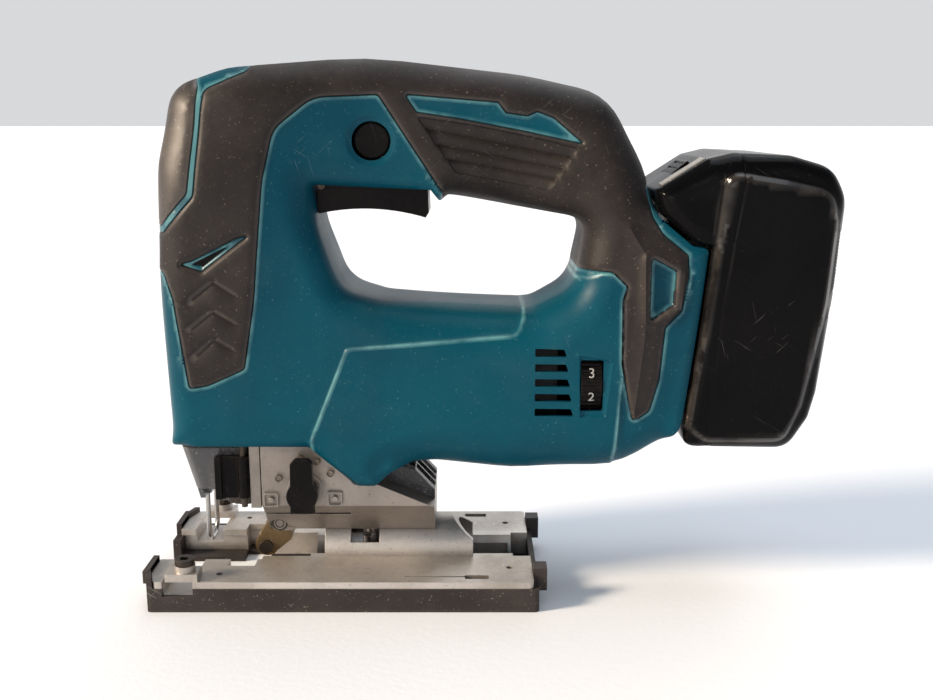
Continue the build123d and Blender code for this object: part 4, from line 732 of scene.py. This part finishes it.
def gauge_strip():
    """A plain grey strip along the slope of the battery's nose."""
    points, faces = [], []
    low, high = np.array(GAUGE_ENDS)
    along = np.array(GAUGE_ALONG)
    across = np.array((-GAUGE_ALONG[1], GAUGE_ALONG[0]))
    for lift, inset in ((-0.6, 0.0), (0.35, 0.0), (0.5, 0.25)):
        for end, sign in ((low, 1), (high, -1)):
            for y in (GAUGE_Y[0] + inset, GAUGE_Y[1] - inset):
                spot = end + across * lift + sign * inset * along
                points.append((spot[0], y, spot[1]))
    for row in range(2):
        for a, b in ((0, 1), (1, 3), (3, 2), (2, 0)):
            faces.append((4 * row + a, 4 * row + b, 4 * row + 4 + b, 4 * row + 4 + a))
    faces += [(8, 9, 11, 10), (0, 2, 3, 1)]
    strip = small_piece("gauge_strip", points, faces)
    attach(strip, "battery")
    dress(strip, "label_grey")


def vent_screens():
    """Painted shade inside the housing: a plain dark wall between the cooling slots of the two sides, and
    dark plates behind the head's vents.
    """
    points, faces = [], []
    for side in (-1, 1):
        prism(points, faces, rounded(SIDE_VENT, 0.9)[::side], side * SHADE_PLATE_Y[0], side * SHADE_PLATE_Y[1])
    prism(points, faces, SHADE_PLATE_WALL, -0.6, 0.6)
    shade_plates = small_piece("vent_screens", points, faces)
    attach(shade_plates, "housing")
    dress(shade_plates, "black_plastic")


def bay_wall():
    """A plain wall inside the housing, in front of the battery's terminals."""
    points, faces = [], []
    prism(points, faces, rounded(BAY_WALL), BAY_WALL_X, BAY_WALL_X + BAY_WALL_THICK)
    wall = small_piece("bay_wall", [(x, y, z) for y, x, z in points], faces)
    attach(wall, "housing")
    dress(wall, "black_plastic")


def pin_bosses():
    """Tabs of the gear housing that carry the retainer pin, each with a ring round the pin's end."""
    points, faces = [], []
    for side in (-1, 1):
        prism(points, faces, rounded(PIN_TAB)[::side], side * TAB_Y[0], side * TAB_Y[1])
        frame_ring(points, faces, circle(PIN, 2.5)[::side], circle(PIN, 1.9)[::side], side * 9.5, side * 10.1)
        prism(points, faces, circle(PIN, 1.5)[::side], side * 9.5, side * 10.0)
    bosses = small_piece("pin_bosses", points, faces)
    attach(bosses, "housing")
    dress(bosses, "cast_aluminium")


def tip_lips():
    """Tall lips of the base's cover round the front of its two prongs."""
    points, faces = [], []
    for side in (-1, 1):
        loop = [(x, side * y) for x, y in LIP_PATH]
        loop += [(x + LIP_THICK, y) for x, y in reversed(loop)]
        prism(points, faces, loop[::side], *LIP_Z)
    lips = small_piece("tip_lips", [(x, z, y) for x, y, z in points], faces)
    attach(lips, "base")
    dress(lips, "cover_plastic")


def dial_numbers():
    """Plain numbers round the speed dial."""
    low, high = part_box("speed_dial")
    centre = (low + high) / 2
    radius = (high.z - low.z) / 2
    points, faces = [], []
    for number in range(1, 7):
        data = bpy.data.curves.new(f"number_{number}", "FONT")
        data.body = str(number)
        data.size = DIGIT_SIZE * MM
        data.align_x = "CENTER"
        data.align_y = "CENTER"
        data.extrude = DIGIT_RELIEF * MM
        data.resolution_u = 6
        text = bpy.data.objects.new(data.name, data)
        shape = bpy.data.meshes.new_from_object(text)
        angle = math.radians(DIGIT_ANGLE * (number - 2.5))
        first = len(points)
        for vertex in shape.vertices:
            turn = angle + vertex.co.y / radius
            reach = radius + vertex.co.z + 0.02 * MM
            points.append(((centre.x + vertex.co.x) / MM, (centre.y - reach * math.cos(turn)) / MM,
                           (centre.z + reach * math.sin(turn)) / MM))
        faces += [tuple(first + k for k in polygon.vertices) for polygon in shape.polygons]
        bpy.data.objects.remove(text)
    numbers = mesh_object("dial_numbers", points, faces, 30)
    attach(numbers, "dial")
    dress(numbers, "gauge_grey")


# ---- materials
class Nodes:
    """Short calls that add and join the nodes of one material."""

    def __init__(self, name):
        self.material = bpy.data.materials.new(name)
        self.material.use_nodes = True
        self.tree = self.material.node_tree
        self.shader = self.tree.nodes["Principled BSDF"]
        self.place = self.add("ShaderNodeTexCoord").outputs["Object"]

    def add(self, kind, inputs=None, **settings):
        """A new node, with its inputs linked or set."""
        node = self.tree.nodes.new(kind)
        for key, value in settings.items():
            setattr(node, key, value)
        for key, value in (inputs or {}).items():
            self.put(value, node.inputs[key])
        return node

    def put(self, source, target):
        if hasattr(source, "links"):
            self.tree.links.new(source, target)
        else:
            target.default_value = source

    def stretched(self, size, turn):
        """Coordinates turned about Y and then divided by a size along each axis."""
        inputs = {"Vector": self.place, "Scale": size, "Rotation": (0, turn, 0)}
        return self.add("ShaderNodeMapping", inputs, vector_type="TEXTURE").outputs["Vector"]

    def noise(self, scale, detail=4.0, rough=0.55, place=None, warp=0.0):
        inputs = {"Vector": place or self.place, "Scale": scale, "Detail": detail, "Roughness": rough,
                  "Distortion": warp}
        return self.add("ShaderNodeTexNoise", inputs).outputs["Fac"]

    def ranged(self, source, low, high, start=0.0, end=1.0):
        inputs = {"Value": source, "From Min": low, "From Max": high, "To Min": start, "To Max": end}
        return self.add("ShaderNodeMapRange", inputs, interpolation_type="SMOOTHSTEP").outputs["Result"]

    def sums(self, kind, first, second):
        return self.add("ShaderNodeMath", {0: first, 1: second}, operation=kind).outputs[0]

    def mixed(self, share, first, second):
        first, second = (tone if hasattr(tone, "links") else (*tone, 1) for tone in (first, second))
        return self.add("ShaderNodeMix", {0: share, 6: first, 7: second}, data_type="RGBA").outputs[2]

    def rounded_edges(self, radius):
        """A normal that rounds sharp edges, and how near an edge each place is."""
        bevel = self.add("ShaderNodeBevel", {"Radius": radius}, samples=3).outputs["Normal"]
        plain = self.add("ShaderNodeNewGeometry").outputs["Normal"]
        same = self.add("ShaderNodeVectorMath", {0: bevel, 1: plain}, operation="DOT_PRODUCT")
        return bevel, self.ranged(same.outputs["Value"], 0.992, 0.86)

    def moulded_edges(self):
        """The painted highlight kept on the moulded shells: pale lines along the borders of two moulded
        materials, the panel edges and the chevron tops, 0 to 1.
        """
        return self.add("ShaderNodeAttribute", attribute_name="edge").outputs["Fac"]

    def crevices(self, reach):
        """How enclosed a place is, 0 to 1."""
        node = self.add("ShaderNodeAmbientOcclusion", {"Distance": reach}, samples=3)
        return self.ranged(node.outputs["AO"], 0.75, 0.25)

    def bump(self, height, depth, after=None):
        inputs = {"Strength": 1.0, "Distance": depth, "Height": height}
        if after:
            inputs["Normal"] = after
        return self.add("ShaderNodeBump", inputs).outputs["Normal"]

    def scratches(self):
        """Thin marks in a few directions, 0 to 1."""
        total = None
        for turn, length in ((0.55, 0.10), (-0.75, 0.08), (1.3, 0.11)):
            place = self.stretched((length, 0.05, 0.004), turn)
            line = self.ranged(self.noise(5.0, 2.0, 0.5, place, 0.2), 0.70, 0.74, 0, 1)
            total = line if total is None else self.sums("MAXIMUM", total, line)
        patches = self.ranged(self.noise(31, 2.0), 0.54, 0.66)
        return self.sums("MULTIPLY", total, patches)


MATERIALS = {}
# CAD nodes with a finish of their own
FINISHES = {"pivot_pins": "dark_steel", "retainer_pin": "dark_steel", "roller_pin": "dark_steel",
            "roller_yoke": "burnished_steel", "rear_baffle": "smoke_dark"}


def surface(name, colour, shade, rough, metal=0.0, grain=(1800, 4e-5), patch=18, wear_and_highlight=None, dust=None,
            scratch=0.0, specular=0.5, cast=None, moulded=False, edge_radius=0.0005, painted_shade=None):
    """A moulded or cast finish that has seen use: patchy colour, dust in hollows, pale rubbed edges on the
    CAD parts, painted highlight lines on the moulded shells, painted shade in concave places, scratches and
    grain.
    """
    n = Nodes(name)
    tone = n.mixed(n.ranged(n.noise(patch, 5.0), 0.38, 0.64), colour, shade)
    roughness = n.ranged(n.noise(patch * 2.6, 4.0), 0.3, 0.7, rough - 0.06, rough + 0.08)
    height = n.noise(grain[0], 3.0, 0.6)
    # on moulded shells this mask is the painted highlight kept on the mesh; on other parts it is how near a
    # sharp edge a place is
    corners, edge_and_highlight = (None, n.moulded_edges()) if moulded else n.rounded_edges(edge_radius)
    normal = n.bump(height, grain[1], corners)
    if cast:
        normal = n.bump(n.noise(cast[0], 3.0), cast[1], normal)
    if dust:
        tint, amount = dust
        settled = n.sums("MULTIPLY", n.ranged(n.noise(34, 6.0, 0.7), 0.45, 0.72), amount)
        fine = n.sums("MULTIPLY", n.ranged(n.noise(420, 3.0, 0.7), 0.56, 0.7), amount * 0.8)
        hollow = n.sums("MULTIPLY", n.crevices(0.004), min(1.0, amount * 1.5))
        tone = n.mixed(n.sums("MAXIMUM", n.sums("MAXIMUM", settled, fine), hollow), tone, tint)
        specks = n.sums("MULTIPLY", n.ranged(n.noise(1100, 1.0, 0.5), 0.70, 0.76), min(1.0, amount * 3))
        tone = n.mixed(specks, tone, tuple(min(1.0, 2.2 * value) for value in tint))
    # painted shade: darker navy colour in concave, enclosed places, where shade falls
    if painted_shade:
        tone = n.mixed(n.sums("MULTIPLY", n.crevices(0.05), 0.8), tone, painted_shade)
    # pale tint by that mask: painted highlight lines on moulded shells, rubbed edge wear on other parts
    if wear_and_highlight:
        tint, amount = wear_and_highlight
        worn_and_lit = n.sums("MULTIPLY", edge_and_highlight, n.ranged(n.noise(90, 4.0), 0.35, 0.6, 0.25, 1.0))
        tone = n.mixed(n.sums("MULTIPLY", worn_and_lit, amount), tone, tint)
    if scratch:
        marks = n.sums("MULTIPLY", n.scratches(), scratch)
        light = tuple(min(1.0, 0.25 + 1.2 * value) for value in colour)
        tone = n.mixed(marks, tone, light)
        roughness = n.sums("ADD", roughness, n.sums("MULTIPLY", marks, 0.2))
    n.put(tone, n.shader.inputs["Base Color"])
    n.put(roughness, n.shader.inputs["Roughness"])
    n.put(normal, n.shader.inputs["Normal"])
    n.shader.inputs["Metallic"].default_value = metal
    n.shader.inputs["Specular IOR Level"].default_value = specular
    if moulded:
        glint = n.sums("ADD", n.sums("MULTIPLY", edge_and_highlight, 0.55), specular)
        n.put(glint, n.shader.inputs["Specular IOR Level"])
    MATERIALS[name] = n.material
    return n


def clear_plastic(name, colour, rough):
    """Smoke-coloured clear plastic with fine dust."""
    n = surface(name, colour, tuple(value * 0.6 for value in colour), rough, grain=(900, 3e-5),
                dust=((0.45, 0.4, 0.36), 0.25), scratch=0.25)
    n.shader.inputs["Transmission Weight"].default_value = 0.62
    n.shader.inputs["IOR"].default_value = 1.46
    return n


def make_materials():
    """One finish for each material slot of the record."""
    dusty = (0.36, 0.30, 0.25)
    # In the teal, grip, pad and battery gloss finishes the pale edge tint is a painted highlight, and the
    # teal's dark concave colour is painted shade.
    surface("teal_nylon", (0.0015, 0.066, 0.100), (0.001, 0.046, 0.076), 0.34, grain=(2600, 3e-5), patch=9,
            wear_and_highlight=((0.18, 0.46, 0.47), 0.65), dust=((0.05, 0.12, 0.13), 0.09), scratch=0.16, specular=0.10,
            moulded=True, painted_shade=(0.0006, 0.020, 0.042))
    surface("grip_rubber", (0.021, 0.0165, 0.016), (0.012, 0.0095, 0.009), 0.5, grain=(3200, 5e-5),
            patch=14, wear_and_highlight=((0.13, 0.10, 0.08), 0.4), dust=((0.075, 0.060, 0.049), 0.2), scratch=0.14,
            specular=0.21, moulded=True)
    surface("pad_rubber", (0.040, 0.031, 0.026), (0.022, 0.017, 0.015), 0.42, grain=(3200, 5e-5), patch=30,
            wear_and_highlight=((0.2, 0.15, 0.11), 0.5), dust=((0.13, 0.10, 0.075), 0.3), scratch=0.3, specular=0.5,
            moulded=True)
    surface("cast_aluminium", (0.33, 0.29, 0.26), (0.25, 0.22, 0.195), 0.38, 0.7, grain=(1500, 6e-5),
            patch=22, wear_and_highlight=((0.6, 0.57, 0.53), 0.5), dust=((0.08, 0.066, 0.055), 0.35), scratch=0.15,
            cast=(260, 8e-5))
    surface("base_aluminium", (0.62, 0.58, 0.54), (0.48, 0.44, 0.40), 0.42, 0.7, grain=(1500, 8e-5),
            patch=20, wear_and_highlight=((0.75, 0.73, 0.69), 0.5), dust=((0.15, 0.12, 0.10), 0.35), scratch=0.2,
            cast=(420, 0.0001))
    surface("cover_plastic", (0.030, 0.025, 0.024), (0.040, 0.033, 0.031), 0.5, patch=30,
            wear_and_highlight=((0.16, 0.135, 0.12), 0.5), dust=((0.085, 0.070, 0.060), 0.35), scratch=0.4, specular=0.2)
    clear_plastic("smoke_plastic", (0.20, 0.21, 0.23), 0.22)
    clear_plastic("smoke_dark", (0.045, 0.050, 0.060), 0.2)
    clear_plastic("lamp_clear", (0.9, 0.9, 0.86), 0.12)
    surface("steel", (0.46, 0.45, 0.44), (0.36, 0.34, 0.32), 0.28, 1.0, grain=(1200, 2e-5), patch=40,
            dust=((0.14, 0.10, 0.07), 0.3), scratch=0.3, wear_and_highlight=((0.8, 0.78, 0.74), 0.5))
    surface("dark_steel", (0.055, 0.045, 0.036), (0.036, 0.029, 0.023), 0.4, 0.7, patch=40,
            wear_and_highlight=((0.30, 0.25, 0.19), 0.6), dust=((0.07, 0.052, 0.036), 0.4), scratch=0.15)
    surface("brass", (0.42, 0.27, 0.12), (0.28, 0.18, 0.09), 0.34, 1.0, patch=60, grain=(900, 3e-5),
            dust=((0.10, 0.07, 0.04), 0.5), wear_and_highlight=((0.8, 0.62, 0.34), 0.6))
    surface("bronze", (0.36, 0.22, 0.11), (0.26, 0.16, 0.09), 0.4, 1.0, patch=60,
            dust=((0.1, 0.07, 0.05), 0.3))
    surface("copper", (0.50, 0.20, 0.10), (0.36, 0.14, 0.07), 0.35, 0.9, patch=80, grain=(700, 0.0002))
    surface("stator_steel", (0.20, 0.20, 0.21), (0.13, 0.13, 0.14), 0.45, 0.9, patch=70, grain=(900, 0.0001))
    surface("burnished_steel", (0.24, 0.165, 0.085), (0.13, 0.09, 0.05), 0.36, 0.85, patch=50,
            wear_and_highlight=((0.5, 0.40, 0.26), 0.6), dust=((0.07, 0.052, 0.036), 0.3), scratch=0.2)
    surface("black_plastic", (0.0035, 0.003, 0.003), (0.006, 0.005, 0.005), 0.28, patch=26,
            grain=(2200, 3e-5), wear_and_highlight=((0.10, 0.085, 0.075), 0.4), dust=((0.04, 0.033, 0.028), 0.1),
            scratch=0.2, specular=0.08)
    surface("board_green", (0.015, 0.10, 0.045), (0.012, 0.075, 0.035), 0.3, patch=60, grain=(600, 6e-5))
    surface("controller_case", (0.035, 0.035, 0.037), (0.025, 0.025, 0.027), 0.5, 0.6, patch=50)
    surface("contact_metal", (0.62, 0.55, 0.40), (0.50, 0.43, 0.30), 0.28, 1.0, patch=70, scratch=0.3)
    surface("battery_gloss", (0.0018, 0.0018, 0.0022), (0.0028, 0.0026, 0.0028), 0.18, patch=16,
            grain=(900, 1e-5), wear_and_highlight=((0.075, 0.064, 0.055), 0.6), dust=((0.022, 0.020, 0.019), 0.05),
            scratch=0.14, specular=0.07, moulded=True)
    surface("battery_black", (0.0032, 0.0032, 0.0038), (0.0042, 0.0040, 0.0044), 0.17, patch=16,
            grain=(900, 1e-5), wear_and_highlight=((0.10, 0.09, 0.085), 0.4), dust=((0.035, 0.031, 0.029), 0.07),
            scratch=0.14, specular=0.07)
    surface("gauge_grey", (0.42, 0.42, 0.42), (0.33, 0.325, 0.32), 0.45, patch=60, dust=(dusty, 0.4),
            scratch=0.4)
    surface("label_grey", (0.21, 0.215, 0.215), (0.16, 0.16, 0.16), 0.4, patch=60, dust=(dusty, 0.3),
            scratch=0.3)
    surface("cell_wrap", (0.02, 0.12, 0.24), (0.02, 0.09, 0.18), 0.3, patch=40)


def dress(piece, name):
    """Gives a piece its finish, and names the record's slot."""
    material = MATERIALS[name]
    if piece.material_slots:
        for place in piece.material_slots:
            place.material = material
    else:
        piece.data.materials.append(material)


def dress_frame():
    """Every CAD node takes its own finish, or that of its slot in the record."""
    for entry in frame["record"]["subparts"]:
        for place in frame["nodes"][entry["node"]].material_slots:
            place.material = MATERIALS[FINISHES.get(entry["node"], entry["material_slot"])]


# ---- studio
# soft distant lamps, as (name, direction of the light, strength, spread in degrees, colour)
LAMPS = (("key", (-1.0, -0.31, 0.5), 5.0, 12, (1.0, 0.82, 0.62)),
         ("sky", (0.1, 0.2, 1.1), 1.15, 50, (0.88, 0.94, 1.0)),
         ("low", (-0.55, -1.0, 0.06), 0.5, 30, (1.0, 0.92, 0.82)),
         ("back", (0.3, 1.0, 0.8), 0.7, 50, (1.0, 0.98, 0.95)))
SKY_RAMP = ((0.18, (0.86, 0.87, 0.89, 1)), (0.5, (0.26, 0.29, 0.34, 1)))
SKY_STRENGTH = 0.8
FLOOR_HALF = 30.0
FLOOR_ROWS = 24
FLOOR_DROP = 0.05
CAMERA_AT = (-0.0057, -0.42, 0.188)
CAMERA_DOWN = 12.3
LENS = 40.8
SENSOR = 36


def studio():
    """Pale floor, soft light and the camera."""
    scene = bpy.context.scene
    scene.view_settings.view_transform = "Standard"
    world = bpy.data.worlds.new("studio_world")
    world.use_nodes = True
    nodes, links = world.node_tree.nodes, world.node_tree.links
    split = nodes.new("ShaderNodeSeparateXYZ")
    links.new(nodes.new("ShaderNodeTexCoord").outputs["Generated"], split.inputs[0])
    ramp = nodes.new("ShaderNodeValToRGB")
    for stop, (position, colour) in zip(ramp.color_ramp.elements, SKY_RAMP):
        stop.position = position
        stop.color = colour
    links.new(split.outputs["Z"], ramp.inputs["Fac"])
    links.new(ramp.outputs["Color"], nodes["Background"].inputs["Color"])
    nodes["Background"].inputs["Strength"].default_value = SKY_STRENGTH
    scene.world = world
    count = FLOOR_ROWS + 1
    line = np.linspace(-FLOOR_HALF, FLOOR_HALF, count)
    points = [(x / MM, y / MM, cad_box[0][2] / MM - FLOOR_DROP) for x in line for y in line]
    corners = [i * count + j for i in range(FLOOR_ROWS) for j in range(FLOOR_ROWS)]
    floor = mesh_object("floor", points, [(k, k + count, k + count + 1, k + 1) for k in corners])
    surface("floor_paper", (0.86, 0.89, 0.94), (0.84, 0.87, 0.92), 0.8, grain=(300, 0.0001), patch=1.2)
    floor.data.materials.append(MATERIALS["floor_paper"])
    for name, direction, strength, spread, colour in LAMPS:
        data = bpy.data.lights.new(name, "SUN")
        data.angle = math.radians(spread)
        data.energy = strength
        data.color = colour
        light = bpy.data.objects.new(name, data)
        light.rotation_euler = Vector(direction).to_track_quat("Z", "Y").to_euler()
        scene.collection.objects.link(light)
    data = bpy.data.cameras.new("camera")
    data.sensor_width = SENSOR
    data.lens = LENS
    camera = bpy.data.objects.new("camera", data)
    camera.location = CAMERA_AT
    camera.rotation_euler = (math.radians(90 - CAMERA_DOWN), 0, 0)
    scene.collection.objects.link(camera)
    scene.camera = camera


make_materials()
dress_frame()
moulded_body()
battery_shells()
gear_case_marks()
bay_wall()
pin_bosses()
gauge_strip()
vent_screens()
tip_lips()
dial_numbers()
studio()
